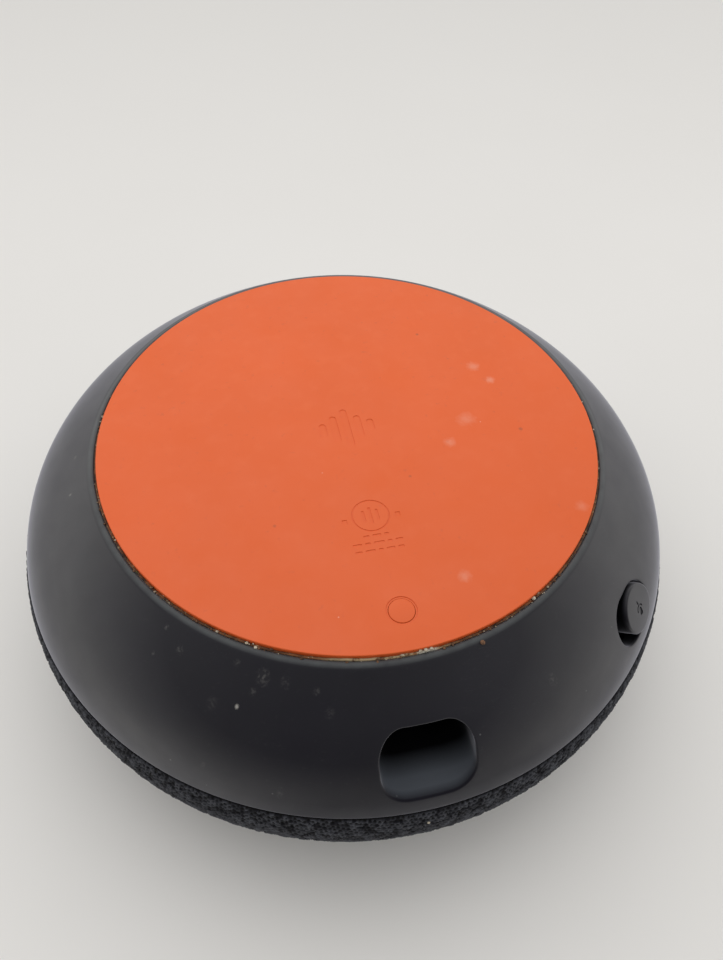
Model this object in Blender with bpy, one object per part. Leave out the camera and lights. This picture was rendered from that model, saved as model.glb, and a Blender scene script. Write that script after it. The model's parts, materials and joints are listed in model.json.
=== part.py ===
"""Puck-shaped smart speaker, lying upside down on its fabric dome with the base pad on top.

Metres, +Z up.  The origin is where the middle of the dome rests on the table.  The power
socket faces -Y.  +Z points out of the base pad, so the speaker plays towards -Z.
"""

import math

import bmesh
import bpy
from mathutils import Matrix, Vector

# Overall form
BODY_RADIUS = 0.0490
BODY_HEIGHT = 0.0420
GAP = 0.0003

# Fabric dome and the grille shell under it
EQUATOR_Z = 0.0218
SEAM_Z = 0.02637
SEAM_RADIUS = 0.0481
DOME_POWER = 2.25
FOOT_RADIUS = 0.0120
FABRIC_THICKNESS = 0.0008
GRILLE_INSET = FABRIC_THICKNESS + GAP
GRILLE_THICKNESS = 0.0018
GRILLE_INNER = GRILLE_INSET + GRILLE_THICKNESS
TONGUE_RADII = (0.0436, 0.0450)
TONGUE_TOP = 0.0271
GRILLE_HOLE_RADIUS = 0.0011
GRILLE_HOLE_RINGS = ((0.0165, 8), (0.0375, 16))

# Base pad
PAD_RADIUS = 0.03475
PAD_BOTTOM = 0.04055
ADHESIVE_RADIUS = 0.0340
ADHESIVE_Z = (0.04005, 0.04025)

# Lower case
SEAT_Z = 0.03975
SEAT_RADIUS = PAD_RADIUS + GAP
CEILING_Z = 0.03775
LIP_CREST = (0.0355, 0.04145)
LIP_OUTER = (0.0362, 0.04115)
CASE_INNER_TOP_RADIUS = 0.0360
CASE_INNER_SEAM_RADIUS = 0.0461

# Power recess in the lower case
RECESS_HALF_WIDTH = 0.00575
RECESS_Z = (0.0290, 0.0368)
RECESS_CORNER = 0.0033
RECESS_BACK_Y = -0.0370
POCKET_HALF_WIDTH = 0.0073
POCKET_Z = (0.0274, 0.0385)
POCKET_INNER_Y = -0.0357

# Micro-USB socket
SOCKET_HALF_WIDTH = 0.0038
SOCKET_Z = (0.0315, 0.0342)
SOCKET_REAR_Y = -0.0316
SOCKET_SHEET = 0.0003

# Mute switch
MUTE_ANGLE = math.radians(45.2)
MUTE_RADIUS = 0.04495
MUTE_Z = 0.0332
MUTE_TILT = math.radians(36.7)
MUTE_KNOB_RADIUS = 0.0034
MUTE_KNOB_RISE = 0.0003
MUTE_SLOT_RADIUS = 0.00375
MUTE_TRAVEL = 0.0017

# Reset button
RESET_Y = -0.0296
RESET_DISC_RADIUS = 0.0016

# Screws and posts
CASE_SCREW_CIRCLE = 0.0315
CASE_SCREW_ANGLES = (45, 135, 225, 315)
POST_RADIUS = 0.0025
POST_TOP = 0.0374
ENCLOSURE_SCREW_CIRCLE = 0.0306
ENCLOSURE_SCREW_ANGLES = (25, 155, 270)
BOARD_SCREW_POSITIONS = ((-0.021, 0.006), (0.021, 0.006), (0.0, -0.022))

# Boards
MAIN_BOARD_RADIUS = 0.0335
MAIN_BOARD_Z = (0.0345, 0.0356)
SENSOR_BOARD_Z = (0.0052, 0.0060)
SENSOR_RING_RADII = (0.0160, 0.0220)
LED_SPACING = 0.0040

# Loudspeaker
ENCLOSURE_RADIUS = 0.0280
ENCLOSURE_WALL = 0.0016
ENCLOSURE_Z = (0.0113, 0.0294)
DRIVER_HOLE_RADIUS = 0.0214
FLANGE_RADII = (0.0200, 0.0235)
FLANGE_Z = (0.0090, 0.0102)
COIL_RADII = (0.0069, 0.0076)
POLE_RADIUS = 0.0066
CONE_OUTER = (0.0180, 0.0090)
CONE_NECK = (0.0079, 0.0148)

BIG_SEGMENTS = 48
MID_SEGMENTS = 32
SMALL_SEGMENTS = 16
HOLE_SEGMENTS = 8


# --- building tools -------------------------------------------------------------------------

def make_material(name, color, roughness, metallic=0.0):
    material = bpy.data.materials.new(name)
    material.use_nodes = True
    shader = material.node_tree.nodes["Principled BSDF"]
    shader.inputs["Base Color"].default_value = (*color, 1.0)
    shader.inputs["Roughness"].default_value = roughness
    shader.inputs["Metallic"].default_value = metallic
    return material


def finish_mesh(name, bm, material=None):
    """Turn a bmesh into a smooth-shaded object with outward faces."""
    bmesh.ops.remove_doubles(bm, verts=bm.verts, dist=1e-7)
    bmesh.ops.recalc_face_normals(bm, faces=bm.faces)
    mesh = bpy.data.meshes.new(name)
    bm.to_mesh(mesh)
    bm.free()
    mesh.shade_smooth()
    mesh.set_sharp_from_angle(angle=math.radians(35))
    if material is not None:
        mesh.materials.append(material)
    piece = bpy.data.objects.new(name, mesh)
    bpy.context.scene.collection.objects.link(piece)
    return piece


def bezier(start, start_handle, end_handle, end, count):
    """Points along a cubic curve in the (radius, height) plane, both ends included."""
    points = []
    for step in range(count + 1):
        t = step / count
        weights = ((1 - t) ** 3, 3 * (1 - t) ** 2 * t, 3 * (1 - t) * t * t, t ** 3)
        corners = (start, start_handle, end_handle, end)
        points.append(tuple(sum(w * c[i] for w, c in zip(weights, corners)) for i in (0, 1)))
    return points


def turned(name, profile, material=None, segments=MID_SEGMENTS, sweep=None):
    """Solid of revolution about Z of a closed (radius, height) outline.

    sweep is None for a full turn, or (first angle, last angle) in degrees for a sector.
    """
    bm = bmesh.new()
    full = sweep is None
    first, last = (0.0, 360.0) if full else sweep
    columns = []
    for step in range(segments if full else segments + 1):
        angle = math.radians(first + (last - first) * step / segments)
        columns.append([
            bm.verts.new((radius * math.cos(angle), radius * math.sin(angle), height))
            for radius, height in profile
        ])
    pairs = list(zip(columns, columns[1:]))
    if full:
        pairs.append((columns[-1], columns[0]))
    for left, right in pairs:
        for i in range(len(profile)):
            j = (i + 1) % len(profile)
            if profile[i][0] < 1e-9 and profile[j][0] < 1e-9:
                continue
            corners = [left[i], left[j], right[j], right[i]]
            if profile[i][0] < 1e-9:
                corners.remove(right[i])
            elif profile[j][0] < 1e-9:
                corners.remove(right[j])
            bm.faces.new(corners)
    if not full:
        bm.faces.new(columns[0])
        bm.faces.new(columns[-1])
    return finish_mesh(name, bm, material)


def prism(name, outline, low, high, material=None, frame=None):
    """Outline of (x, y) points extruded from z = low to z = high, then placed by frame."""
    bm = bmesh.new()
    bottom = [bm.verts.new((x, y, low)) for x, y in outline]
    top = [bm.verts.new((x, y, high)) for x, y in outline]
    bm.faces.new(bottom)
    bm.faces.new(top)
    for i in range(len(outline)):
        j = (i + 1) % len(outline)
        bm.faces.new((bottom[i], bottom[j], top[j], top[i]))
    if frame is not None:
        bm.transform(frame)
    return finish_mesh(name, bm, material)


def box(name, x_range, y_range, z_range, material=None, frame=None):
    (x0, x1), (y0, y1) = x_range, y_range
    return prism(name, [(x0, y0), (x1, y0), (x1, y1), (x0, y1)], *z_range, material, frame)


def circle(radius, segments, center=(0.0, 0.0)):
    return [
        (center[0] + radius * math.cos(math.tau * i / segments),
         center[1] + radius * math.sin(math.tau * i / segments))
        for i in range(segments)
    ]


def rod(name, radius, low, high, center=(0.0, 0.0), material=None, segments=SMALL_SEGMENTS):
    return prism(name, circle(radius, segments, center), low, high, material)


def rounded_outline(half_width, low, high, corner, steps):
    """Rectangle with round corners: x within half_width, y from low to high."""
    centers = (
        (half_width - corner, high - corner, 0),
        (-half_width + corner, high - corner, 90),
        (-half_width + corner, low + corner, 180),
        (half_width - corner, low + corner, 270),
    )
    points = []
    for x, y, start in centers:
        for step in range(steps + 1):
            angle = math.radians(start + 90 * step / steps)
            points.append((x + corner * math.cos(angle), y + corner * math.sin(angle)))
    return points


def slot_outline(radius, half_travel, steps):
    """Stadium along x: two half circles whose centres are half_travel either side of 0."""
    points = []
    for side, first_angle in ((1, -math.pi / 2), (-1, math.pi / 2)):
        for step in range(steps + 1):
            angle = first_angle + math.pi * step / steps
            points.append((side * half_travel + radius * math.cos(angle), radius * math.sin(angle)))
    return points


def combine(target, others, operation):
    """Apply Boolean modifiers to target, one for each other object, and remove those objects."""
    for other in others:
        modifier = target.modifiers.new(other.name, "BOOLEAN")
        modifier.operation = operation
        modifier.solver = "EXACT"
        modifier.object = other
        other.hide_render = True
        other.display_type = "WIRE"
    depsgraph = bpy.context.evaluated_depsgraph_get()
    result = bpy.data.meshes.new_from_object(target.evaluated_get(depsgraph))
    target.modifiers.clear()
    target.data = result
    result.name = target.name
    result.shade_smooth()
    result.set_sharp_from_angle(angle=math.radians(35))
    for other in others:
        bpy.data.objects.remove(other)
    return target


def on_circle(radius, degrees):
    return radius * math.cos(math.radians(degrees)), radius * math.sin(math.radians(degrees))


# --- shared outlines ------------------------------------------------------------------------

def dome_outline(inset, rows, top_z=SEAM_Z - GAP):
    """Outside of the dome moved in by inset, from the seam down to the middle of the foot."""
    radius = BODY_RADIUS - inset
    seam = SEAM_RADIUS + 0.0002 - inset
    points = []
    for step in range(2):
        z = top_z + (EQUATOR_Z - top_z) * step / 2
        rise = (z - EQUATOR_Z) / (top_z - EQUATOR_Z)
        points.append((radius - (radius - seam) * rise ** 2, z))
    foot_share = (1 - (FOOT_RADIUS / radius) ** DOME_POWER) ** (1 / DOME_POWER)
    depth = (EQUATOR_Z - inset) / foot_share
    foot_turn = math.asin(foot_share ** (DOME_POWER / 2))
    for step in range(rows + 1):
        turn = foot_turn * step / rows
        points.append((
            radius * math.cos(turn) ** (2 / DOME_POWER),
            EQUATOR_Z - depth * math.sin(turn) ** (2 / DOME_POWER),
        ))
    points.append((0.0, inset))
    return points


def dome_height(inset, radius):
    """Height of the inset dome surface at a distance from the axis outside the foot."""
    outer = BODY_RADIUS - inset
    foot_share = (1 - (FOOT_RADIUS / outer) ** DOME_POWER) ** (1 / DOME_POWER)
    depth = (EQUATOR_Z - inset) / foot_share
    return EQUATOR_Z - depth * (1 - (radius / outer) ** DOME_POWER) ** (1 / DOME_POWER)


def case_outside(rows):
    """Outer bowl of the lower case from the seam up to the lip."""
    return bezier((SEAM_RADIUS, SEAM_Z), (0.0465, 0.0335), (0.0413, 0.0373), LIP_OUTER, rows)


def case_inside(rows, inset=0.0):
    """Inner wall of the lower case from the seam up to its ceiling."""
    start = (CASE_INNER_SEAM_RADIUS - inset, SEAM_Z)
    end = (CASE_INNER_TOP_RADIUS - inset, CEILING_Z - inset)
    return bezier(start, (0.0447 - inset, 0.0322), (0.0404 - inset, 0.0358 - inset), end, rows)


def mute_frame():
    """x along the slide away from the socket, z out along the surface, origin on the surface."""
    out_flat = Vector((math.sin(MUTE_ANGLE), -math.cos(MUTE_ANGLE), 0.0))
    along = Vector((math.cos(MUTE_ANGLE), math.sin(MUTE_ANGLE), 0.0))
    out = out_flat * math.cos(MUTE_TILT) + Vector((0, 0, math.sin(MUTE_TILT)))
    up = out.cross(along)
    place = out_flat * MUTE_RADIUS + Vector((0, 0, MUTE_Z))
    frame = Matrix((along, up, out)).transposed().to_4x4()
    frame.translation = place
    return frame


# --- base pad and reset button ----------------------------------------------------------------

def make_base_pad(silicone, film):
    edge = 0.0005
    pad = turned("base_pad", [
        (0.0, PAD_BOTTOM),
        (PAD_RADIUS, PAD_BOTTOM),
        (PAD_RADIUS, BODY_HEIGHT - edge),
        (PAD_RADIUS - edge, BODY_HEIGHT),
        (0.0, BODY_HEIGHT),
    ], silicone, BIG_SEGMENTS)
    hole = rod("pad_hole", RESET_DISC_RADIUS + GAP, 0.039, 0.044, (0.0, RESET_Y))
    combine(pad, [hole], "DIFFERENCE")

    adhesive = prism("pad_adhesive", circle(ADHESIVE_RADIUS, MID_SEGMENTS), *ADHESIVE_Z, film)
    hole = rod("adhesive_hole", 0.0023, 0.039, 0.044, (0.0, RESET_Y))
    combine(adhesive, [hole], "DIFFERENCE")


def make_reset_button(silicone, plastic, dark_plastic):
    center = (0.0, RESET_Y)
    rod("reset_pad_disc", RESET_DISC_RADIUS, PAD_BOTTOM, BODY_HEIGHT, center, silicone)
    rod("reset_plunger", 0.0012, 0.03805, 0.04025, center, plastic)
    rod("reset_switch_button", 0.0007, 0.0369, 0.03775, center, plastic)
    body = box("reset_switch_body", (-0.0016, 0.0016), (RESET_Y - 0.0016, RESET_Y + 0.0016),
               (0.0359, 0.0372), dark_plastic)
    combine(body, [rod("switch_well", 0.0010, 0.0363, 0.0380, center)], "DIFFERENCE")


# --- lower case -------------------------------------------------------------------------------

def make_lower_case(plastic):
    solid = [(0.0, SEAT_Z), (SEAT_RADIUS, SEAT_Z), (SEAT_RADIUS, LIP_CREST[1] - 0.0004), LIP_CREST]
    solid += reversed(case_outside(7))
    solid += [(0.0, SEAM_Z)]
    case = turned("lower_case", solid, plastic, BIG_SEGMENTS)

    hollow = [(0.0, 0.0250), (CASE_INNER_SEAM_RADIUS, 0.0250)]
    hollow += case_inside(6)
    hollow += [(0.0, CEILING_Z)]
    interior = turned("case_interior", hollow, None, BIG_SEGMENTS)
    kept = [box("pocket", (-POCKET_HALF_WIDTH, POCKET_HALF_WIDTH), (-0.0600, POCKET_INNER_Y), POCKET_Z)]
    for number, position in enumerate(BOARD_SCREW_POSITIONS):
        kept.append(rod(f"standoff_{number}", 0.0020, MAIN_BOARD_Z[1] + GAP, 0.0385, position,
                        segments=HOLE_SEGMENTS))
    combine(interior, kept, "DIFFERENCE")

    to_front = Matrix.Rotation(math.radians(90), 4, "X")
    recess = prism("recess", rounded_outline(RECESS_HALF_WIDTH, *RECESS_Z, RECESS_CORNER, 4),
                   -RECESS_BACK_Y, 0.0600, None, to_front)
    socket_hole = box("socket_hole", (-0.0041, 0.0041), (-0.0380, -0.0340), (0.0312, 0.0345))
    slot = prism("mute_slot", slot_outline(MUTE_SLOT_RADIUS, MUTE_TRAVEL / 2, 8),
                 -0.0045, 0.0040, None, mute_frame())
    plunger_hole = rod("plunger_hole", 0.0015, 0.0370, 0.0405, (0.0, RESET_Y))
    cutters = [interior, recess, socket_hole, slot, plunger_hole]
    for degrees in CASE_SCREW_ANGLES:
        center = on_circle(CASE_SCREW_CIRCLE, degrees)
        cutters.append(turned_screw_hole(f"screw_hole_{degrees}", center))
    for number, position in enumerate(BOARD_SCREW_POSITIONS):
        cutters.append(rod(f"board_hole_{number}", 0.0010, 0.0350, 0.0381, position,
                           segments=HOLE_SEGMENTS))
    combine(case, cutters, "DIFFERENCE")


def turned_screw_hole(name, center):
    """Stepped cutter: a clearance hole with a wider counterbore for the head above it."""
    cutter = turned(name, [
        (0.0, 0.0370), (0.0015, 0.0370), (0.0015, 0.0382), (0.0028, 0.0382), (0.0028, 0.0410),
        (0.0, 0.0410),
    ], None, SMALL_SEGMENTS)
    cutter.data.transform(Matrix.Translation((*center, 0.0)))
    return cutter


def make_screw(name, center, head_radius, head_z, shank_radius, tip_z, metal, head_up):
    """Flat-headed screw with a six-sided drive socket; head_up puts the socket on top."""
    near, far = (head_z[0], head_z[1]) if head_up else (head_z[1], head_z[0])
    profile = [
        (0.0, tip_z), (shank_radius, tip_z), (shank_radius, near), (head_radius, near),
        (head_radius, far), (0.0, far),
    ]
    screw = turned(name, profile, metal, 12)
    depth = 0.55 * (far - near)
    socket = sorted((far - depth, far + 0.5 * depth))
    combine(screw, [rod(name + "_drive", 0.45 * head_radius, *socket, segments=6)], "DIFFERENCE")
    screw.data.transform(Matrix.Translation((*center, 0.0)))


def make_screws(metal):
    for number, degrees in enumerate(CASE_SCREW_ANGLES, 1):
        make_screw(f"case_screw_{number}", on_circle(CASE_SCREW_CIRCLE, degrees),
                   0.0025, (0.0385, 0.0396), 0.0012, 0.0305, metal, True)
    for number, degrees in enumerate(ENCLOSURE_SCREW_ANGLES, 1):
        make_screw(f"enclosure_screw_{number}", on_circle(ENCLOSURE_SCREW_CIRCLE, degrees),
                   0.0018, (0.0132, 0.0142), 0.0007, 0.0076, metal, True)
    for number, position in enumerate(BOARD_SCREW_POSITIONS, 1):
        make_screw(f"board_screw_{number}", position,
                   0.0015, (0.0333, 0.0342), 0.0007, 0.0374, metal, False)


# --- grille shell and fabric ------------------------------------------------------------------

def make_grille_shell(plastic):
    top = SEAM_Z - GAP
    outline = dome_outline(GRILLE_INSET, 5)
    inner = list(reversed(dome_outline(GRILLE_INNER, 5)))[:-1]
    outline += inner
    outline += [
        (TONGUE_RADII[0], TONGUE_TOP - 0.0040), (TONGUE_RADII[0], TONGUE_TOP),
        (TONGUE_RADII[1], TONGUE_TOP), (TONGUE_RADII[1], top),
    ]
    shell = turned("grille_shell", outline, plastic, BIG_SEGMENTS)
    added = []
    for degrees in CASE_SCREW_ANGLES:
        low = dome_height(GRILLE_INNER, CASE_SCREW_CIRCLE) - 0.0008
        added.append(rod(f"post_{degrees}", POST_RADIUS, low, POST_TOP,
                         on_circle(CASE_SCREW_CIRCLE, degrees), segments=HOLE_SEGMENTS))
        low = dome_height(GRILLE_INNER, 0.0190) - 0.0006
        added.append(rod(f"pip_{degrees}", 0.0012, low, SENSOR_BOARD_Z[0] - GAP,
                         on_circle(0.0190, degrees), segments=HOLE_SEGMENTS))
    for degrees in ENCLOSURE_SCREW_ANGLES:
        low = dome_height(GRILLE_INNER, ENCLOSURE_SCREW_CIRCLE) - 0.0008
        added.append(rod(f"boss_{degrees}", 0.0024, low, ENCLOSURE_Z[0] - GAP,
                         on_circle(ENCLOSURE_SCREW_CIRCLE, degrees), segments=HOLE_SEGMENTS))
    combine(shell, added, "UNION")

    cutters = []
    for degrees in CASE_SCREW_ANGLES:
        cutters.append(rod(f"pilot_{degrees}", 0.0015, 0.0298, 0.0400,
                           on_circle(CASE_SCREW_CIRCLE, degrees), segments=HOLE_SEGMENTS))
    for degrees in ENCLOSURE_SCREW_ANGLES:
        cutters.append(rod(f"boss_pilot_{degrees}", 0.0010, 0.0070, 0.0120,
                           on_circle(ENCLOSURE_SCREW_CIRCLE, degrees), segments=HOLE_SEGMENTS))
    for ring_radius, count in GRILLE_HOLE_RINGS:
        for number in range(count):
            center = on_circle(ring_radius, 360 * (number + 0.5) / count)
            cutters.append(rod(f"sound_hole_{count}_{number}", GRILLE_HOLE_RADIUS, -0.001,
                               dome_height(GRILLE_INNER, ring_radius) + 0.0030, center, segments=6))
    for number in range(4):
        cutters.append(rod(f"light_hole_{number}", 0.0012, -0.001, 0.0050,
                           (led_x(number), 0.0), segments=HOLE_SEGMENTS))
    combine(shell, cutters, "DIFFERENCE")


def make_fabric_cover(fabric):
    outline = dome_outline(0.0, 7)
    outline += reversed(dome_outline(FABRIC_THICKNESS, 7))
    turned("fabric_cover", outline, fabric, BIG_SEGMENTS)


# --- mute switch ------------------------------------------------------------------------------

def make_mute_switch(plastic, dark_plastic, board):
    frame = mute_frame()
    rest = MUTE_TRAVEL / 2
    knob = prism("mute_knob", circle(MUTE_KNOB_RADIUS, 24, (rest, 0.0)), -0.0034, MUTE_KNOB_RISE,
                 plastic, frame)
    flange = box("knob_flange", (rest - 0.0040, rest + 0.0040), (-0.0034, 0.0042), (-0.0038, -0.0030),
                 None, frame)
    combine(knob, [flange], "UNION")
    box("mute_lever", (rest - 0.0005, rest + 0.0005), (-0.0005, 0.0005), (-0.0058, -0.0041),
        plastic, frame)
    body = box("mute_switch_body", (-0.0045, 0.0045), (-0.0018, 0.0018), (-0.0069, -0.0046),
               dark_plastic, frame)
    lever_slot = box("lever_slot", (-0.0024, 0.0024), (-0.0009, 0.0009), (-0.0060, -0.0040),
                     None, frame)
    combine(body, [lever_slot], "DIFFERENCE")
    box("mute_board", (-0.0065, 0.0065), (-0.0025, 0.0025), (-0.0080, -0.0072), board, frame)


# --- power socket -----------------------------------------------------------------------------

def make_power_socket(metal, dark_plastic):
    low, high = SOCKET_Z
    shell = box("usb_socket_shell", (-SOCKET_HALF_WIDTH, SOCKET_HALF_WIDTH),
                (RECESS_BACK_Y, SOCKET_REAR_Y), SOCKET_Z, metal)
    inside = SOCKET_HALF_WIDTH - SOCKET_SHEET
    mouth = box("socket_mouth", (-inside, inside), (RECESS_BACK_Y - 0.001, SOCKET_REAR_Y - 0.0006),
                (low + SOCKET_SHEET, high - SOCKET_SHEET))
    combine(shell, [mouth], "DIFFERENCE")
    middle = (low + high) / 2
    box("usb_contact_tongue", (-0.0025, 0.0025), (RECESS_BACK_Y + 0.0007, SOCKET_REAR_Y - 0.0009),
        (middle - 0.0003, middle + 0.0003), dark_plastic)


# --- electronics ------------------------------------------------------------------------------

def make_main_board(board, metal, chip, rubber, aluminium, plastic):
    disc = prism("main_board", circle(MAIN_BOARD_RADIUS, BIG_SEGMENTS), *MAIN_BOARD_Z, board)
    cutters = []
    for degrees in CASE_SCREW_ANGLES:
        cutters.append(rod(f"post_notch_{degrees}", POST_RADIUS + 0.0005, 0.033, 0.037,
                           on_circle(CASE_SCREW_CIRCLE, degrees), segments=HOLE_SEGMENTS))
    for number, position in enumerate(BOARD_SCREW_POSITIONS):
        cutters.append(rod(f"fixing_hole_{number}", 0.0010, 0.033, 0.037, position,
                           segments=HOLE_SEGMENTS))
    combine(disc, cutters, "DIFFERENCE")

    underside = MAIN_BOARD_Z[0] - GAP
    can = box("shield_can", (-0.0120, 0.0120), (-0.0090, 0.0110), (0.0319, underside), metal)
    inside = box("can_inside", (-0.0117, 0.0117), (-0.0087, 0.0107), (0.0322, underside + 0.001))
    combine(can, [inside], "DIFFERENCE")
    box("processor_chip", (-0.0100, 0.0020), (-0.0060, 0.0060), (0.0330, underside), chip)
    box("memory_chip", (0.0040, 0.0105), (-0.0040, 0.0060), (0.0332, underside), chip)
    box("amplifier_chip", (-0.0160, -0.0110), (-0.0180, -0.0130), (0.0333, underside), chip)
    box("ribbon_connector", (-0.0050, 0.0050), (0.0240, 0.0270), (0.0330, underside), plastic)
    box("speaker_connector", (-0.0235, -0.0205), (-0.0025, 0.0025), (0.0326, underside), plastic)
    box("thermal_pad", (-0.0090, 0.0090), (-0.0070, 0.0090), (0.0309, 0.0316), rubber)
    prism("heat_spreader", circle(0.0200, MID_SEGMENTS), 0.0297, 0.0306, aluminium)


def make_ribbon_cable(film):
    """Flat cable from the main board down past the enclosure to the sensor board."""
    half = 0.000125
    path = [(0.0273, 0.0336), (0.0300, 0.0336), (0.0300, 0.0088), (0.0245, 0.00645), (0.0213, 0.00645)]
    outside = [(path[0][0], path[0][1] + half), (path[1][0] + half, path[1][1] + half),
               (path[2][0] + half, path[2][1]), (path[3][0], path[3][1] - half),
               (path[4][0], path[4][1] - half)]
    inside = [(path[4][0], path[4][1] + half), (path[3][0] - half, path[3][1] + half),
              (path[2][0] - half, path[2][1] + half), (path[1][0] - half, path[1][1] - half),
              (path[0][0], path[0][1] - half)]
    across = Matrix(((0, 0, 1, 0), (1, 0, 0, 0), (0, 1, 0, 0), (0, 0, 0, 1)))
    prism("ribbon_cable", outside + inside, -0.0040, 0.0040, film, across)


def make_antennas(copper):
    """Two foil aerials that follow the inner wall of the lower case."""
    outer = case_inside(8, GAP)[2:6]
    inner = case_inside(8, 2 * GAP)[2:6]
    for number, sweep in enumerate(((98, 148), (206, 246)), 1):
        turned(f"antenna_{number}", outer + list(reversed(inner)), copper, 8, sweep)


def led_x(number):
    return (number - 1.5) * LED_SPACING


def make_sensor_board(board, led, clear, metal, copper):
    low, high = SENSOR_BOARD_Z
    inner, outer = SENSOR_RING_RADII
    ring = turned("sensor_board", [(inner, low), (outer, low), (outer, high), (inner, high)],
                  board, MID_SEGMENTS)
    strip = box("sensor_strip", (-0.0185, 0.0185), (-0.0030, 0.0030), (low, high))
    combine(ring, [strip], "UNION")
    for number in range(4):
        x = led_x(number)
        box(f"status_led_{number + 1}", (x - 0.0008, x + 0.0008), (-0.0008, 0.0008),
            (low - 0.0009, low - GAP), led)
    guide = box("light_guide", (-0.0080, 0.0080), (-0.0014, 0.0014), (0.0032, 0.0040), clear)
    stubs = [rod(f"stub_{number}", 0.0009, 0.00115, 0.0036, (led_x(number), 0.0),
                 segments=HOLE_SEGMENTS) for number in range(4)]
    combine(guide, stubs, "UNION")
    for number, y in ((1, 0.0190), (2, -0.0190)):
        box(f"microphone_{number}", (-0.0017, 0.0017), (y - 0.0013, y + 0.0013),
            (low - 0.0010, low - GAP), metal)
    for name, middle in (("touch_pad_right", 0), ("touch_pad_left", 180)):
        near = [(r, dome_height(GRILLE_INNER, r) + GAP) for r in (0.0255, 0.0290, 0.0325, 0.0355)]
        far = [(r, z + 0.0003) for r, z in reversed(near)]
        turned(name, near + far, copper, 6, (middle - 15, middle + 15))


# --- loudspeaker ------------------------------------------------------------------------------

def make_enclosure(plastic, foam):
    low, high = ENCLOSURE_Z
    wall = ENCLOSURE_WALL
    inside = ENCLOSURE_RADIUS - wall
    cup = turned("speaker_enclosure", [
        (DRIVER_HOLE_RADIUS, low), (ENCLOSURE_RADIUS, low), (ENCLOSURE_RADIUS, high - 0.0015),
        (ENCLOSURE_RADIUS - 0.0015, high), (0.0, high), (0.0, high - 0.0015),
        (inside - 0.0010, high - 0.0015), (inside, high - 0.0030), (inside, low + wall),
        (DRIVER_HOLE_RADIUS, low + wall),
    ], plastic, MID_SEGMENTS)
    ears = [rod(f"ear_{degrees}", 0.0034, low + 0.00001, low + wall - 0.00001,
                on_circle(ENCLOSURE_SCREW_CIRCLE, degrees), segments=HOLE_SEGMENTS)
            for degrees in ENCLOSURE_SCREW_ANGLES]
    combine(cup, ears, "UNION")
    cutters = [rod(f"ear_hole_{degrees}", 0.0010, 0.0100, 0.0140,
                   on_circle(ENCLOSURE_SCREW_CIRCLE, degrees), segments=HOLE_SEGMENTS)
               for degrees in ENCLOSURE_SCREW_ANGLES]
    cutters += [rod(f"wire_hole_{side}", 0.0008, 0.0270, 0.0300, (-0.0220, side * 0.0012),
                    segments=HOLE_SEGMENTS) for side in (-1, 1)]
    combine(cup, cutters, "DIFFERENCE")
    turned("speaker_gasket", [(0.0216, 0.0105), (0.0235, 0.0105), (0.0235, 0.0110), (0.0216, 0.0110)],
           foam, MID_SEGMENTS)


def make_driver_frame(metal, iron, ferrite):
    ring = (0.0086, 0.0174)
    basket = turned("speaker_basket", [
        (FLANGE_RADII[0], FLANGE_Z[0]), (FLANGE_RADII[1], FLANGE_Z[0]),
        (FLANGE_RADII[1], FLANGE_Z[1]), (0.0209, FLANGE_Z[1]), (ring[1], 0.0183),
        (ring[1], 0.0193), (ring[0], 0.0193), (ring[0], 0.0183), (ring[1] - 0.0008, 0.0183),
        (0.0201, FLANGE_Z[1]),
    ], metal, MID_SEGMENTS)
    windows = []
    for degrees in (0, 90):
        turn = Matrix.Rotation(math.radians(degrees), 4, "Z")
        windows.append(box(f"window_{degrees}", (-0.030, 0.030), (-0.0090, 0.0090), (0.0112, 0.0172),
                           None, turn))
    combine(basket, windows, "DIFFERENCE")
    turned("top_plate", [(0.0080, 0.0196), (0.0165, 0.0196), (0.0165, 0.0211), (0.0080, 0.0211)],
           iron, MID_SEGMENTS)
    turned("ring_magnet", [(0.0095, 0.0214), (0.0175, 0.0214), (0.0175, 0.0254), (0.0095, 0.0254)],
           ferrite, MID_SEGMENTS)
    turned("pole_yoke", [
        (0.0, 0.0196), (POLE_RADIUS, 0.0196), (POLE_RADIUS, 0.0257), (0.0165, 0.0257),
        (0.0165, 0.0274), (0.0, 0.0274),
    ], iron, MID_SEGMENTS)


def make_diaphragm(paper, cap, copper, rubber, cloth):
    skin = 0.0005
    rim, neck = CONE_OUTER, CONE_NECK
    bend = (0.0135, 0.0112)
    turned("speaker_cone", [
        rim, bend, neck, (neck[0], neck[1] + skin), (bend[0], bend[1] + skin), (rim[0], rim[1] + skin),
    ], paper, MID_SEGMENTS)
    turned("dust_cap", [
        (0.0, 0.0116), (0.0030, 0.0118), (0.0058, 0.0124), (0.0078, 0.0133), (0.0076, 0.0137),
        (0.0056, 0.0128), (0.0029, 0.0122), (0.0, 0.0120),
    ], cap, MID_SEGMENTS)
    turned("voice_coil", [
        (COIL_RADII[0], 0.0152), (COIL_RADII[1], 0.0152), (COIL_RADII[1], 0.0225),
        (COIL_RADII[0], 0.0225),
    ], copper, 24)
    turned("surround", rolled_strip((0.0183, 0.0086), (0.0205, 0.0086), 0.0224, 0.0009, 0.00035),
           rubber, MID_SEGMENTS)
    turned("spider", corrugated_strip(0.0081, 0.0160, 0.0174, 0.0005, 2, 0.0003), cloth, 24)


def rolled_strip(start, end, lip_radius, depth, thickness):
    """Half-round roll between two radii that bulges towards -Z, then a flat lip."""
    lower = []
    for step in range(5):
        angle = math.pi * step / 4
        radius = start[0] + (end[0] - start[0]) * (1 - math.cos(angle)) / 2
        lower.append((radius, start[1] - depth * math.sin(angle)))
    lower.append((lip_radius, end[1]))
    upper = [(radius, height + thickness * 0.35) for radius, height in reversed(lower)]
    return [(r, h - thickness * 0.65) for r, h in lower] + upper


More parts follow.
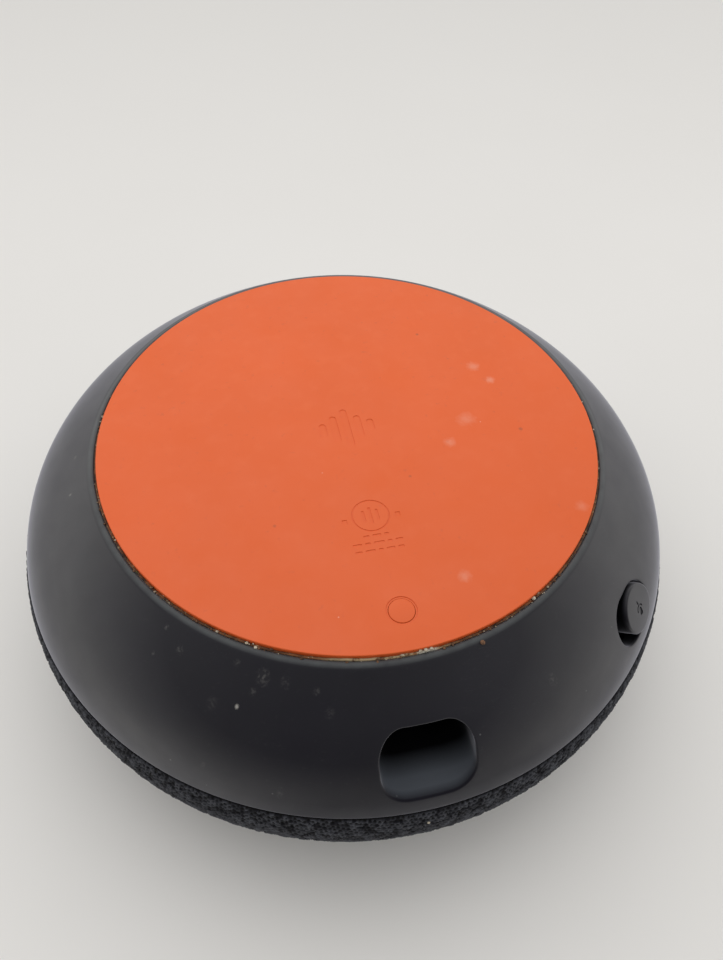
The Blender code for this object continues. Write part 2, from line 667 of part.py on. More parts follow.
def corrugated_strip(inner, outer, height, depth, waves, thickness):
    """Thin flat ring with sine-shaped waves between its inner and outer edges."""
    steps = 4 * waves
    line = []
    for step in range(steps + 1):
        share = step / steps
        line.append((inner + (outer - inner) * share, height + depth * math.sin(math.tau * waves * share)))
    return line + [(r, h + thickness) for r, h in reversed(line)]


def make_wires(red, black):
    for name, y, material in (("speaker_wire_red", 0.0012, red), ("speaker_wire_black", -0.0012, black)):
        curve = bpy.data.curves.new(name, "CURVE")
        curve.dimensions = "3D"
        curve.bevel_depth = 0.0004
        curve.bevel_resolution = 1
        curve.use_fill_caps = True
        curve.materials.append(material)
        line = curve.splines.new("POLY")
        route = [(-0.0220, y, 0.0323), (-0.0220, y, 0.0260), (-0.0220, y, 0.0205),
                 (-0.0214, y, 0.0192), (-0.0200, y, 0.0188), (-0.0179, y, 0.0188)]
        line.points.add(len(route) - 1)
        for point, place in zip(line.points, route):
            point.co = (*place, 1.0)
        wire = bpy.data.objects.new(name, curve)
        bpy.context.scene.collection.objects.link(wire)


# --- assembly ---------------------------------------------------------------------------------

def main():
    for old in list(bpy.data.objects):
        bpy.data.objects.remove(old)

    silicone = make_material("orange_silicone", (0.72, 0.135, 0.050), 0.55)
    casing = make_material("charcoal_plastic", (0.045, 0.046, 0.052), 0.45)
    knit = make_material("charcoal_fabric", (0.040, 0.044, 0.052), 0.90)
    dark_plastic = make_material("black_plastic", (0.020, 0.020, 0.022), 0.50)
    pale_plastic = make_material("white_plastic", (0.70, 0.70, 0.68), 0.40)
    clear = make_material("clear_plastic", (0.80, 0.82, 0.84), 0.15)
    film = make_material("film", (0.55, 0.40, 0.16), 0.45)
    board = make_material("circuit_board", (0.020, 0.110, 0.050), 0.40)
    chip = make_material("chip_resin", (0.018, 0.018, 0.020), 0.55)
    rubber = make_material("black_rubber", (0.022, 0.022, 0.022), 0.80)
    foam = make_material("grey_foam", (0.16, 0.16, 0.17), 0.90)
    steel = make_material("steel", (0.62, 0.62, 0.63), 0.30, 1.0)
    iron = make_material("plated_iron", (0.50, 0.50, 0.52), 0.40, 1.0)
    ferrite = make_material("ferrite", (0.055, 0.055, 0.060), 0.60)
    aluminium = make_material("aluminium", (0.75, 0.75, 0.76), 0.35, 1.0)
    copper = make_material("copper", (0.72, 0.35, 0.20), 0.35, 1.0)
    paper = make_material("cone_paper", (0.035, 0.035, 0.037), 0.80)
    cloth = make_material("spider_cloth", (0.62, 0.42, 0.14), 0.90)
    red = make_material("red_insulation", (0.55, 0.03, 0.03), 0.45)

    make_base_pad(silicone, film)
    make_reset_button(silicone, pale_plastic, dark_plastic)
    make_lower_case(casing)
    make_screws(steel)
    make_grille_shell(dark_plastic)
    make_fabric_cover(knit)
    make_mute_switch(casing, dark_plastic, board)
    make_power_socket(steel, dark_plastic)
    make_main_board(board, steel, chip, rubber, aluminium, pale_plastic)
    make_ribbon_cable(film)
    make_antennas(copper)
    make_sensor_board(board, pale_plastic, clear, steel, copper)
    make_enclosure(dark_plastic, foam)
    make_driver_frame(steel, iron, ferrite)
    make_diaphragm(paper, rubber, copper, rubber, cloth)
    make_wires(red, rubber)


main()
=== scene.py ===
"""Looks of the puck-shaped smart speaker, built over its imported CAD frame.

Metres, +Z up.  The speaker lies on its fabric dome with the base pad facing up, and the power
recess faces -Y.  Azimuths are measured from -Y towards +X.
"""

import json
import math

import bmesh
import bpy
import numpy as np
from mathutils import Matrix, Vector
from mathutils.geometry import delaunay_2d_cdt


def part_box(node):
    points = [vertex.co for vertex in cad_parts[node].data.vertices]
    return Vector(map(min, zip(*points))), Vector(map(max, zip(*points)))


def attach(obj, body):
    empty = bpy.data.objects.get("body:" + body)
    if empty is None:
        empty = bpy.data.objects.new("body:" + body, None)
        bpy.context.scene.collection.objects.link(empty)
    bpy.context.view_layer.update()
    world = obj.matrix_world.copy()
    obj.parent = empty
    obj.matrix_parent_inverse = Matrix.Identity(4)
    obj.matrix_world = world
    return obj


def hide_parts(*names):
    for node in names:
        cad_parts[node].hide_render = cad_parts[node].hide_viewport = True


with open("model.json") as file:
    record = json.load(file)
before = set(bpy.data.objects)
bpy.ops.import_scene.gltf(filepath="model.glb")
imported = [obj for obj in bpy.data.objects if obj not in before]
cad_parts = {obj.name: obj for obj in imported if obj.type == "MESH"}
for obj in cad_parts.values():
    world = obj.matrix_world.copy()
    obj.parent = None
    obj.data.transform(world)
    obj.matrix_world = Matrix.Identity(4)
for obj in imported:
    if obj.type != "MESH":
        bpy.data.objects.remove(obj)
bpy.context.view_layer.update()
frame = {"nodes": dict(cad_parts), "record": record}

# Lower case: the bowl's outside and inside as (radius, height) curves, and the lip round the pad
SEAM_Z = 0.02637
SEAM_RADIUS = 0.0481
SEAM_ROUNDING = 0.00025
CASE_OUTSIDE = ((SEAM_RADIUS, SEAM_Z), (0.0465, 0.0335), (0.0413, 0.0373), (0.0362, 0.04115))
CASE_INSIDE = ((0.0461, SEAM_Z), (0.0447, 0.0322), (0.0404, 0.0358), (0.0360, 0.03775))
LIP_SHOULDER = (0.0359, 0.04139)
LIP_CREST = (0.0355, 0.04145)
SEAT_RADIUS = 0.03505
SEAT_Z = 0.03975
CEILING_Z = 0.03775
LIP_INSIDE_Z = 0.0411
CASE_COLUMNS = 432
CASE_ROWS = 44

# Power recess and the socket behind it, in a plane that faces -Y
RECESS_HALF_WIDTH = 0.00575
RECESS_HALF_HEIGHT = 0.0039
RECESS_CORNER = 0.0033
RECESS_MID_Z = 0.0329
RECESS_BACK = 0.0370
RECESS_RIM = 0.00028
RECESS_FLOOR_ROUNDING = 0.0004
POCKET_BACK = 0.0357
POCKET_WALL = 0.0007
SOCKET_HALF_WIDTH = 0.0041
SOCKET_HALF_HEIGHT = 0.00165
SOCKET_CORNER = 0.0004

# Mute switch: its slot, its knob and the tilted plane that they lie in
MUTE_ANGLE = math.radians(45.2)
MUTE_RADIUS = 0.04495
MUTE_Z = 0.0332
MUTE_TILT = math.radians(36.7)
MUTE_TRAVEL = 0.0017
SLOT_RADIUS = 0.00375
SLOT_RIM = 0.00022
KNOB_RADIUS = 0.0034
KNOB_RISE = 0.00042
KNOB_ROUNDING = 0.00025

# Base pad
PAD_RADIUS = 0.03475
PAD_ROUNDING = 0.00015
ENGRAVING_DEPTH = 0.00007
RESET_Y = -0.0296
RESET_HOLE_RADIUS = 0.0019
RESET_LEDGE_RADIUS = 0.00165
RESET_LEDGE_DROP = 0.00009
RESET_DISC_ROUNDING = 0.0001

# Fabric dome
BODY_RADIUS = 0.0490
EQUATOR_Z = 0.0218
FABRIC_TOP_Z = SEAM_Z - 0.0003
FABRIC_TOP_RADIUS = SEAM_RADIUS + 0.0002
DOME_POWER = 2.25
FOOT_RADIUS = 0.0120
FABRIC_COLUMNS = 1540
KNIT_PITCH = 0.00080
KNIT_DEPTH = 0.00029

# Camera
CAMERA_PLACE = Vector((-0.016457, -0.070165, 0.120801))
CAMERA_FORWARD = Vector((0.15981, 0.60174, -0.78254))
CAMERA_UP = Vector((0.15235, 0.76820, 0.62182))
CAMERA_LENS = 28.305
CAMERA_SENSOR = 36.0

# Engraved marks on the pad: five plain bars, and a plain ring over rows of dashes
MOTIF_PLACE = (-0.0003, 0.0)
MOTIF_HEIGHTS = (0.0026, 0.0050, 0.0072, 0.0042, 0.0022)
MOTIF_PITCH = 0.0017
MOTIF_BAR = 0.0010
MARK_PLACE = (-0.0005, -0.0155)
MARK_RADIUS = 0.0024
MARK_LINE = 0.00022
MARK_ROWS = (
    (0.0008, 0.0011, 0.0006),
    (0.0012, 0.0007, 0.0014, 0.0006, 0.0010),
    (0.0009, 0.0013, 0.0006, 0.0011, 0.0008),
)
MARK_GAP = 0.00040

# Wear on the pad: (x, y, radius, strength)
PAD_SMUDGES = (
    (0.0212, 0.0087, 0.0007, 0.35),
    (0.0228, 0.0054, 0.0005, 0.45),
    (0.0168, -0.0016, 0.0009, 0.30),
    (0.0133, -0.0054, 0.0006, 0.35),
    (0.0087, -0.0266, 0.0006, 0.45),
    (0.0271, -0.0195, 0.0006, 0.30),
)
PAD_STAINS = (
    (0.0239, -0.0049, 0.00025, 0.6),
    (0.0147, 0.0174, 0.00020, 0.5),
    (0.0062, -0.0102, 0.00018, 0.5),
    (-0.0128, -0.0147, 0.00020, 0.5),
)

# Charcoal plastic of the case
CASE_COLOUR = (0.0078, 0.0074, 0.0125)
CASE_ROUGHNESS = 0.5
CASE_GLOSS = (0.35, 1.0)
CASE_SHEEN = (0.8, 0.30)
# Heights of the lip's top, painted paler: partly wear from rubbing, partly painted light on the top that
# faces up.
RUBBED_AND_LIT_LIP_Z = (0.04128, 0.04143)

# Dust and smudges on the case, seen in plan: (x, y, radius, strength)
CASE_DUST = (
    (-0.02717, -0.02530, 0.00025, 0.15),
    (-0.02923, -0.02720, 0.00018, 0.13),
    (-0.02598, -0.02813, 0.00035, 0.13),
    (-0.01975, -0.03148, 0.00030, 0.10),
    (-0.01707, -0.03356, 0.00060, 0.17),
    (-0.01843, -0.03456, 0.00030, 0.10),
    (-0.01476, -0.03476, 0.00045, 0.08),
    (-0.01145, -0.03638, 0.00030, 0.13),
    (-0.02049, -0.03535, 0.00018, 1.00),
    (-0.02324, -0.03416, 0.00050, 0.08),
    (-0.01036, -0.03855, 0.00040, 0.08),
    (-0.01721, -0.04352, 0.00030, 0.08),
    (-0.02545, -0.03878, 0.00022, 0.08),
    (0.01671, -0.03918, 0.00045, 0.09),
    (-0.03799, 0.00376, 0.00020, 0.50),
    (-0.03870, -0.00231, 0.00020, 0.45),
)

# Crumbs away from the groove, as (place, size)
STRAY_BROWN = (
    ((0.00831, -0.03516, 0.04135), 0.00026),
    ((0.03085, 0.01447, 0.04150), 0.00022),
    ((-0.03043, -0.01750, 0.04150), 0.00018),
)
STRAY_PALE = (
    ((-0.0003, -0.0489, 0.0241), 0.00024),
    ((0.0009, -0.03482, 0.04165), 0.00022),
    ((0.0015, -0.03486, 0.04170), 0.00026),
    ((0.0022, -0.03484, 0.04165), 0.00022),
    ((-0.02147, 0.02764, 0.04150), 0.00018),
    ((-0.03390, 0.00570, 0.04150), 0.00016),
)

# Studio light: how bright the surroundings are in front and behind, which way behind is, and
# the lamps as name, place, target, size, power and colour
SURROUNDINGS = (0.02, 0.93)
BACKWARDS = (0.28, 0.96, 0.0)
LAMPS = (
    ("window", (-0.10, 0.32, 0.90), (0.0, 0.03, 0.0), (1.0, 0.9), 2.1, (1.0, 0.985, 0.97)),
)


def curve(points, count):
    """Points along a Bezier curve of any degree, both ends included."""
    controls = np.array(points, float)
    degree = len(controls) - 1
    share = np.linspace(0.0, 1.0, count)[:, None]
    total = np.zeros((count, controls.shape[1]))
    for index, control in enumerate(controls):
        weight = math.comb(degree, index) * share**index * (1 - share) ** (degree - index)
        total += weight * control
    return total


def out_direction(azimuth):
    """The level direction that points away from the axis at an azimuth."""
    return np.array((math.sin(azimuth), -math.cos(azimuth), 0.0))


def on_turned(radius, azimuth, height):
    """A point on a surface turned about the axis."""
    return np.stack((radius * np.sin(azimuth), -radius * np.cos(azimuth), height), axis=-1)


class Soup:
    """Loose faces that are welded into one mesh where their corners meet."""

    def __init__(self):
        self.points = []
        self.faces = []

    def add(self, points, faces):
        start = len(self.points)
        self.points.extend(tuple(p) for p in points)
        self.faces.extend([start + i for i in face] for face in faces)

    def rings(self, rings):
        """Quads between each closed ring of points and the next."""
        count = len(rings[0])
        points = [p for ring in rings for p in ring]
        faces = []
        for row in range(len(rings) - 1):
            for i in range(count):
                j = (i + 1) % count
                faces.append(
                    (row * count + i, row * count + j, (row + 1) * count + j, (row + 1) * count + i)
                )
        self.add(points, faces)

    def cap(self, ring):
        self.add(ring, [tuple(range(len(ring)))])

    def closed(self, rings):
        """Quads between the rings, with a cap on the first and on the last."""
        self.rings(rings)
        self.cap(rings[0])
        self.cap(rings[-1])

    def mesh(self, name, sharp=math.radians(40)):
        bm = bmesh.new()
        verts = [bm.verts.new(p) for p in self.points]
        for face in self.faces:
            bm.faces.new([verts[i] for i in face])
        bmesh.ops.remove_doubles(bm, verts=bm.verts, dist=1e-6)
        bmesh.ops.recalc_face_normals(bm, faces=bm.faces)
        return finish_mesh(name, bm, sharp)


def finish_mesh(name, bm, sharp=math.radians(40)):
    """A new object from a bmesh, smooth but for its edges sharper than an angle."""
    mesh = bpy.data.meshes.new(name)
    bm.to_mesh(mesh)
    bm.free()
    mesh.shade_smooth()
    mesh.set_sharp_from_angle(angle=sharp)
    piece = bpy.data.objects.new(name, mesh)
    bpy.context.scene.collection.objects.link(piece)
    return piece


def vertices(piece):
    flat = np.empty(3 * len(piece.data.vertices))
    piece.data.vertices.foreach_get("co", flat)
    return flat.reshape(-1, 3)


def paint(piece, name, values):
    """Store one number per vertex for the piece's material to read."""
    stored = piece.data.attributes.new(name, "FLOAT", "POINT")
    stored.data.foreach_set("value", np.asarray(values, dtype=np.float32))


def cut(piece, cutters):
    """Takes the cutters away from a piece, and removes them."""
    for cutter in cutters:
        modifier = piece.modifiers.new("cut", "BOOLEAN")
        modifier.object = cutter
        modifier.solver = "EXACT"
    graph = bpy.context.evaluated_depsgraph_get()
    mesh = bpy.data.meshes.new_from_object(piece.evaluated_get(graph))
    piece.modifiers.clear()
    piece.data = mesh
    mesh.shade_smooth()
    mesh.set_sharp_from_angle(angle=math.radians(30))
    for cutter in cutters:
        bpy.data.objects.remove(cutter)


def turned(name, profile, columns):
    """A closed solid turned about Z, from a (radius, height) profile that starts and ends on it."""
    soup = Soup()
    angles = np.arange(columns) * math.tau / columns
    rings = [on_turned(r, angles, np.full(columns, z)) for r, z in profile if r > 0]
    soup.closed(rings)
    return soup.mesh(name)


def rounded_outline(half_width, half_height, corner, grow=0.0, step=0.00035):
    """Points round a rounded rectangle. Growing it keeps their number and their order."""
    reach_x = half_width - corner
    reach_y = half_height - corner
    per_corner = max(6, round(corner * math.pi / 2 / step))
    centres = ((reach_x, reach_y), (-reach_x, reach_y), (-reach_x, -reach_y), (reach_x, -reach_y))
    sides = (2 * reach_x, 2 * reach_y, 2 * reach_x, 2 * reach_y)
    points = []
    for quarter, (centre, side) in enumerate(zip(centres, sides)):
        for i in range(per_corner):
            turn = (quarter + i / per_corner) * math.pi / 2
            points.append(np.array(centre) + (corner + grow) * np.array((math.cos(turn), math.sin(turn))))
        turn = (quarter + 1) * math.pi / 2
        across = (corner + grow) * np.array((math.cos(turn), math.sin(turn)))
        if side > step / 2:
            following = np.array(centres[(quarter + 1) % 4])
            count = max(1, round(side / step))
            for i in range(count):
                points.append(np.array(centre) + across + (following - np.array(centre)) * i / count)
    return np.array(points)


def fill_between(outer, hole, loose=()):
    """Triangles between two outlines in a plane, through the loose points. Their corners count
    the outer outline's points, then the hole's, then the loose ones."""
    flat = [Vector((float(x) * 1000, float(y) * 1000)) for x, y in (*outer, *hole, *loose)]
    outlines = [list(range(len(outer))), list(range(len(outer), len(outer) + len(hole)))]
    found = delaunay_2d_cdt(flat, [], outlines, 0, 1e-6, True)
    triangles, first_points, from_outlines = found[2], found[3], found[5]
    kept = []
    for triangle, origin in zip(triangles, from_outlines):
        if 0 in origin and 1 not in origin:
            kept.append([first_points[v][0] for v in triangle])
    return kept


class Opening:
    """A hole through a turned skin: a rounded rectangle in its own plane, cut along its normal."""

    def __init__(self, plane, half_width, half_height, corner):
        self.plane = plane
        self.back = plane.inverted()
        self.size = (half_width, half_height, corner)

    def outline(self, grow=0.0):
        return rounded_outline(*self.size, grow)

    def at(self, outline, depths):
        """Points of an outline at given heights over the plane."""
        depths = np.broadcast_to(depths, len(outline))
        return [self.plane @ Vector((x, y, d)) for (x, y), d in zip(outline, depths)]

    def meet(self, outline, skin):
        """Heights over the plane at which an outline meets a turned skin."""
        return [self.meet_one(x, y, skin) for x, y in outline]

    def meet_one(self, x, y, skin):
        start = self.plane @ Vector((x, y, 0))
        axis = self.plane.to_3x3() @ Vector((0, 0, 1))
        low, high = self.reach
        for _ in range(40):
            middle = (low + high) / 2
            point = start + axis * middle
            if math.hypot(point.x, point.y) < skin.radius_at(point.z):
                low = middle
            else:
                high = middle
        return (low + high) / 2

    def clearance(self, point):
        """How far a point lies outside the opening, seen along its normal."""
        x, y, depth = self.back @ Vector(point)
        half_width, half_height, corner = self.size
        beyond = (max(abs(x) - half_width + corner, 0), max(abs(y) - half_height + corner, 0))
        return math.hypot(*beyond) - corner


class Skin:
    """A stretch of a turned profile: where it lies along the profile, and its grid of points."""

    def __init__(self, profile):
        self.profile = np.array(profile)
        steps = np.linalg.norm(np.diff(self.profile, axis=0), axis=1)
        self.along = np.concatenate(([0.0], np.cumsum(steps)))
        order = np.argsort(self.profile[:, 1])
        self.heights = self.profile[order, 1]
        self.radii = self.profile[order, 0]
        self.lengths = self.along[order]

    def radius_at(self, height):
        return float(np.interp(height, self.heights, self.radii))

    def flat(self, point):
        """A point on the skin, unrolled to a plane."""
        azimuth = math.atan2(point[0], -point[1])
        return azimuth * MUTE_RADIUS, float(np.interp(point[2], self.heights, self.lengths))


def add_skin(soup, skin, columns, openings, grow):
    """The skin as a grid of quads, with a triangulated patch round each opening."""
    azimuths = (np.arange(columns + 1) / columns - 0.5) * math.tau
    rows = len(skin.profile)
    grid = [on_turned(r, azimuths, np.full(columns + 1, z)) for r, z in skin.profile]
    patched = np.zeros((rows - 1, columns), bool)
    for opening, ring in openings:
        points = np.array([tuple(p) for p in ring])
        turn = np.arctan2(points[:, 0], -points[:, 1])
        margin = 3 * math.tau / columns
        first = int(np.searchsorted(azimuths, turn.min() - margin))
        last = int(np.searchsorted(azimuths, turn.max() + margin))
        low = int(np.searchsorted(skin.profile[:, 1], points[:, 2].min() - 0.0001)) - 1
        high = int(np.searchsorted(skin.profile[:, 1], points[:, 2].max() + 0.0001))
        patched[low:high, first:last] = True
        rim = [(low, j) for j in range(first, last)]
        rim += [(i, last) for i in range(low, high)]
        rim += [(high, j) for j in range(last, first, -1)]
        rim += [(i, first) for i in range(high, low, -1)]
        outer = [grid[i][j] for i, j in rim]
        loose = []
        for i in range(low + 1, high):
            for j in range(first + 1, last):
                if opening.clearance(grid[i][j]) > grow + 0.00022:
                    loose.append(grid[i][j])
        unrolled = [[skin.flat(p) for p in group] for group in (outer, ring, loose)]
        soup.add([*outer, *ring, *loose], fill_between(*unrolled))
    faces = []
    for i in range(rows - 1):
        for j in range(columns):
            if not patched[i, j]:
                start = i * (columns + 1) + j
                faces.append((start, start + 1, start + columns + 2, start + columns + 1))
    soup.add([p for row in grid for p in row], faces)


def rim_rings(opening, skin, rounding, steps=6):
    """Rings that round the edge from a skin into the opening's wall."""
    wide = opening.outline(rounding)
    tight = opening.outline()
    starts = np.array([tuple(p) for p in opening.at(wide, opening.meet(wide, skin))])
    edge = np.array(opening.meet(tight, skin))
    corners = np.array([tuple(p) for p in opening.at(tight, edge)])
    ends = np.array([tuple(p) for p in opening.at(tight, edge - rounding)])
    rings = []
    for share in np.linspace(0, 1, steps + 1):
        rings.append(
            starts * (1 - share) ** 2 + 2 * corners * share * (1 - share) + ends * share**2
        )
    return rings


def between(start, end, steps):
    return [start + (end - start) * i / steps for i in range(steps + 1)]


def mute_plane():
    """The slot's plane: X along the slide and away from the recess, Z out of the case."""
    level = Vector(out_direction(MUTE_ANGLE))
    along = Vector((math.cos(MUTE_ANGLE), math.sin(MUTE_ANGLE), 0))
    out = level * math.cos(MUTE_TILT) + Vector((0, 0, math.sin(MUTE_TILT)))
    plane = Matrix((along, out.cross(along), out)).transposed().to_4x4()
    plane.translation = level * MUTE_RADIUS + Vector((0, 0, MUTE_Z))
    return plane


def recess_plane():
    """The recess's plane: X along X, Y up, Z towards -Y, through the axis."""
    plane = Matrix(((1, 0, 0), (0, 0, 1), (0, -1, 0))).transposed().to_4x4()
    plane.translation = Vector((0, 0, RECESS_MID_Z))
    return plane


recess = Opening(recess_plane(), RECESS_HALF_WIDTH, RECESS_HALF_HEIGHT, RECESS_CORNER)
recess.reach = (0.030, 0.050)
pocket = Opening(
    recess_plane(),
    RECESS_HALF_WIDTH + POCKET_WALL,
    RECESS_HALF_HEIGHT + POCKET_WALL,
    RECESS_CORNER + POCKET_WALL,
)
pocket.reach = (0.030, 0.050)
slot = Opening(mute_plane(), SLOT_RADIUS + MUTE_TRAVEL / 2, SLOT_RADIUS, SLOT_RADIUS)
slot.reach = (-0.006, 0.003)

outside = curve(CASE_OUTSIDE, 400)
outside = outside[outside[:, 1] >= SEAM_Z + SEAM_ROUNDING]
outside_length = np.concatenate(([0.0], np.cumsum(np.linalg.norm(np.diff(outside, axis=0), axis=1))))
even = np.linspace(0, outside_length[-1], CASE_ROWS)
outside = np.stack([np.interp(even, outside_length, outside[:, k]) for k in (0, 1)], axis=1)
outer_skin = Skin(outside)
inner_skin = Skin(curve(CASE_INSIDE, 18))


def ring_rows(profile, columns):
    azimuths = (np.arange(columns) / columns - 0.5) * math.tau
    return [on_turned(r, azimuths, np.full(columns, z)) for r, z in profile]


def make_case():
    """The moulded bowl with its lip, its power recess and the slot of the mute switch."""
    soup = Soup()
    recess_rim = rim_rings(recess, outer_skin, RECESS_RIM)
    slot_rim = rim_rings(slot, outer_skin, SLOT_RIM)
    add_skin(
        soup, outer_skin, CASE_COLUMNS, ((recess, recess_rim[0]), (slot, slot_rim[0])), RECESS_RIM
    )
    pocket_outline = pocket.outline()
    pocket_front = np.array(pocket.at(pocket_outline, pocket.meet(pocket_outline, inner_skin)))
    slot_outline = slot.outline()
    slot_back = np.array(slot.at(slot_outline, slot.meet(slot_outline, inner_skin)))
    add_skin(soup, inner_skin, CASE_COLUMNS, ((pocket, pocket_front), (slot, slot_back)), 0.0)
    soup.rings(slot_rim + between(slot_rim[-1], slot_back, 5)[1:])

    wall_end = RECESS_BACK + RECESS_FLOOR_ROUNDING
    wall_back = np.array(recess.at(recess.outline(), wall_end))
    soup.rings(recess_rim + between(recess_rim[-1], wall_back, 10)[1:])
    floor_rings = []
    for share in np.linspace(0, 1, 5):
        inset = RECESS_FLOOR_ROUNDING * (1 - math.sqrt(max(0.0, 1 - share**2)))
        depth = wall_end - RECESS_FLOOR_ROUNDING * share
        floor_rings.append(np.array(recess.at(recess.outline(-inset), depth)))
    soup.rings(floor_rings)
    floor_outline = recess.outline(-RECESS_FLOOR_ROUNDING)
    socket_outline = rounded_outline(SOCKET_HALF_WIDTH, SOCKET_HALF_HEIGHT, SOCKET_CORNER)
    socket_front = np.array(recess.at(socket_outline, RECESS_BACK))
    socket_back = np.array(recess.at(socket_outline, POCKET_BACK))
    soup.add([*floor_rings[-1], *socket_front], fill_between(floor_outline, socket_outline))
    soup.rings([socket_front, socket_back])
    pocket_back = np.array(pocket.at(pocket_outline, POCKET_BACK))
    soup.add([*pocket_back, *socket_back], fill_between(pocket_outline, socket_outline))
    soup.rings([pocket_back, pocket_front])

    lip = curve((CASE_OUTSIDE[-1], LIP_SHOULDER, LIP_CREST), 7)
    lip_inside = (SEAT_RADIUS, LIP_INSIDE_Z)
    inner_edge = curve((LIP_CREST, (SEAT_RADIUS, LIP_CREST[1]), lip_inside), 7)[1:]
    top = [*lip, *inner_edge, (SEAT_RADIUS, SEAT_Z), (SEAT_RADIUS, CEILING_Z), CASE_INSIDE[-1]]
    soup.rings(ring_rows(top, CASE_COLUMNS))
    corner = outside[0]
    bottom_edge = curve((CASE_INSIDE[0], (0.0470, SEAM_Z), (SEAM_RADIUS - SEAM_ROUNDING, SEAM_Z)), 3)
    rounding = curve((bottom_edge[-1], (SEAM_RADIUS, SEAM_Z), corner), 5)[1:]
    soup.rings(ring_rows([*bottom_edge, *rounding], CASE_COLUMNS))
    bowl = soup.mesh("case_bowl")
    points = vertices(bowl)
    skin_radius = np.interp(points[:, 2], outer_skin.heights, outer_skin.radii)
    depth = skin_radius - np.hypot(points[:, 0], points[:, 1])
    depth[(points[:, 2] > CASE_OUTSIDE[-1][1]) | (points[:, 2] < outside[0][1])] = 0.0
    # How far below the outside each point lies; the case material paints the recess and the slot in light
    # and shade by it.
    paint(bowl, "inset", np.clip((depth - 0.0002) / 0.0004, 0, 1))
    return bowl


def make_case_floor():
    """The flat floor of the case under the pad, with the holes that the screws and plunger use."""
    floor = turned("case_floor", ((SEAT_RADIUS, CEILING_Z), (SEAT_RADIUS, SEAT_Z)), 96)
    cutters = []
    for name in ("case_screw_1", "case_screw_2", "case_screw_3", "case_screw_4", "reset_plunger"):
        low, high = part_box(name)
        cutters.append(post("cutter", (low + high) / 2, (high.x - low.x) / 2 + 0.0002, 0.006))
    cut(floor, cutters)
    return floor


def prism(name, outline, low, high, place=(0.0, 0.0)):
    """An upright solid with an outline of (x, y) points, between two heights."""
    soup = Soup()
    rings = [[(x + place[0], y + place[1], z) for x, y in outline] for z in (low, high)]
    soup.closed(rings)
    return soup.mesh(name)


def circle(radius, count=48):
    turns = np.arange(count) * math.tau / count
    return np.stack((radius * np.cos(turns), radius * np.sin(turns)), axis=1)


def post(name, centre, radius, height):
    return prism(
        name, circle(radius), centre.z - height / 2, centre.z + height / 2, (centre.x, centre.y)
    )


def tube(name, centre, inner, outer, low, high):
    """An upright ring with a square section."""
    soup = Soup()
    rings = []
    for radius, z in ((inner, low), (outer, low), (outer, high), (inner, high), (inner, low)):
        rings.append([(centre[0] + x, centre[1] + y, z) for x, y in circle(radius, 64)])
    soup.rings(rings)
    return soup.mesh(name)


def make_pad():
    """The silicone base pad, engraved with a plain motif and plain rating marks."""
    low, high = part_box("base_pad")
    top = high.z
    edge = curve(
        ((PAD_RADIUS, top - PAD_ROUNDING), (PAD_RADIUS, top), (PAD_RADIUS - PAD_ROUNDING, top)), 7
    )
    pad = turned("pad_cover", [(PAD_RADIUS, low.z), *edge], 360)
    floor = top - ENGRAVING_DEPTH
    above = top + 0.001
    cutters = []

    def engrave(outline, place, depth=floor):
        cutters.append(prism("cutter", outline, depth, above, place))

    for index, height in enumerate(MOTIF_HEIGHTS):
        x = (index - (len(MOTIF_HEIGHTS) - 1) / 2) * MOTIF_PITCH + MOTIF_PLACE[0]
        outline = rounded_outline(MOTIF_BAR / 2, height / 2, MOTIF_BAR / 2 - 1e-5)
        engrave(outline, (x, MOTIF_PLACE[1]))
    line = MARK_LINE / 2
    cutters.append(
        tube("cutter", MARK_PLACE, MARK_RADIUS - line, MARK_RADIUS + line, floor, above)
    )
    for side in (-1, 1):
        square = rounded_outline(0.00034, 0.00034, 0.0001)
        spot = (MARK_PLACE[0] + side * (MARK_RADIUS + 0.0011), MARK_PLACE[1] - 0.0004)
        engrave(square, spot)
    for step in (-1, 0, 1):
        bar = rounded_outline(0.00018, 0.0013 - 0.0004 * abs(step), 0.00015)
        spot = (MARK_PLACE[0] + step * 0.0009, MARK_PLACE[1])
        engrave(bar, spot)
    for row, widths in enumerate(MARK_ROWS):
        x = MARK_PLACE[0] - (sum(widths) + MARK_GAP * (len(widths) - 1)) / 2
        y = MARK_PLACE[1] - MARK_RADIUS - 0.0007 - 0.0011 * row
        for width in widths:
            dash = rounded_outline(width / 2, 0.00017, 0.00015)
            engrave(dash, (x + width / 2, y))
            x += width + MARK_GAP
    engrave(circle(RESET_HOLE_RADIUS), (0.0, RESET_Y), top - RESET_LEDGE_DROP)
    engrave(circle(RESET_LEDGE_RADIUS), (0.0, RESET_Y), low.z - 0.001)
    cut(pad, cutters)
    return pad


def make_reset_disc():
    """The round of the pad that presses the reset switch."""
    low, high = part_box("reset_pad_disc")
    radius = (high.x - low.x) / 2
    soup = Soup()
    start = (radius, high.z - RESET_DISC_ROUNDING)
    edge = curve((start, (radius, high.z), (radius - RESET_DISC_ROUNDING, high.z)), 4)
    profile = [(radius, low.z), *edge]
    rings = [[(x, y + RESET_Y, z) for x, y in circle(r, 64)] for r, z in profile]
    soup.closed(rings)
    return soup.mesh("reset_disc")


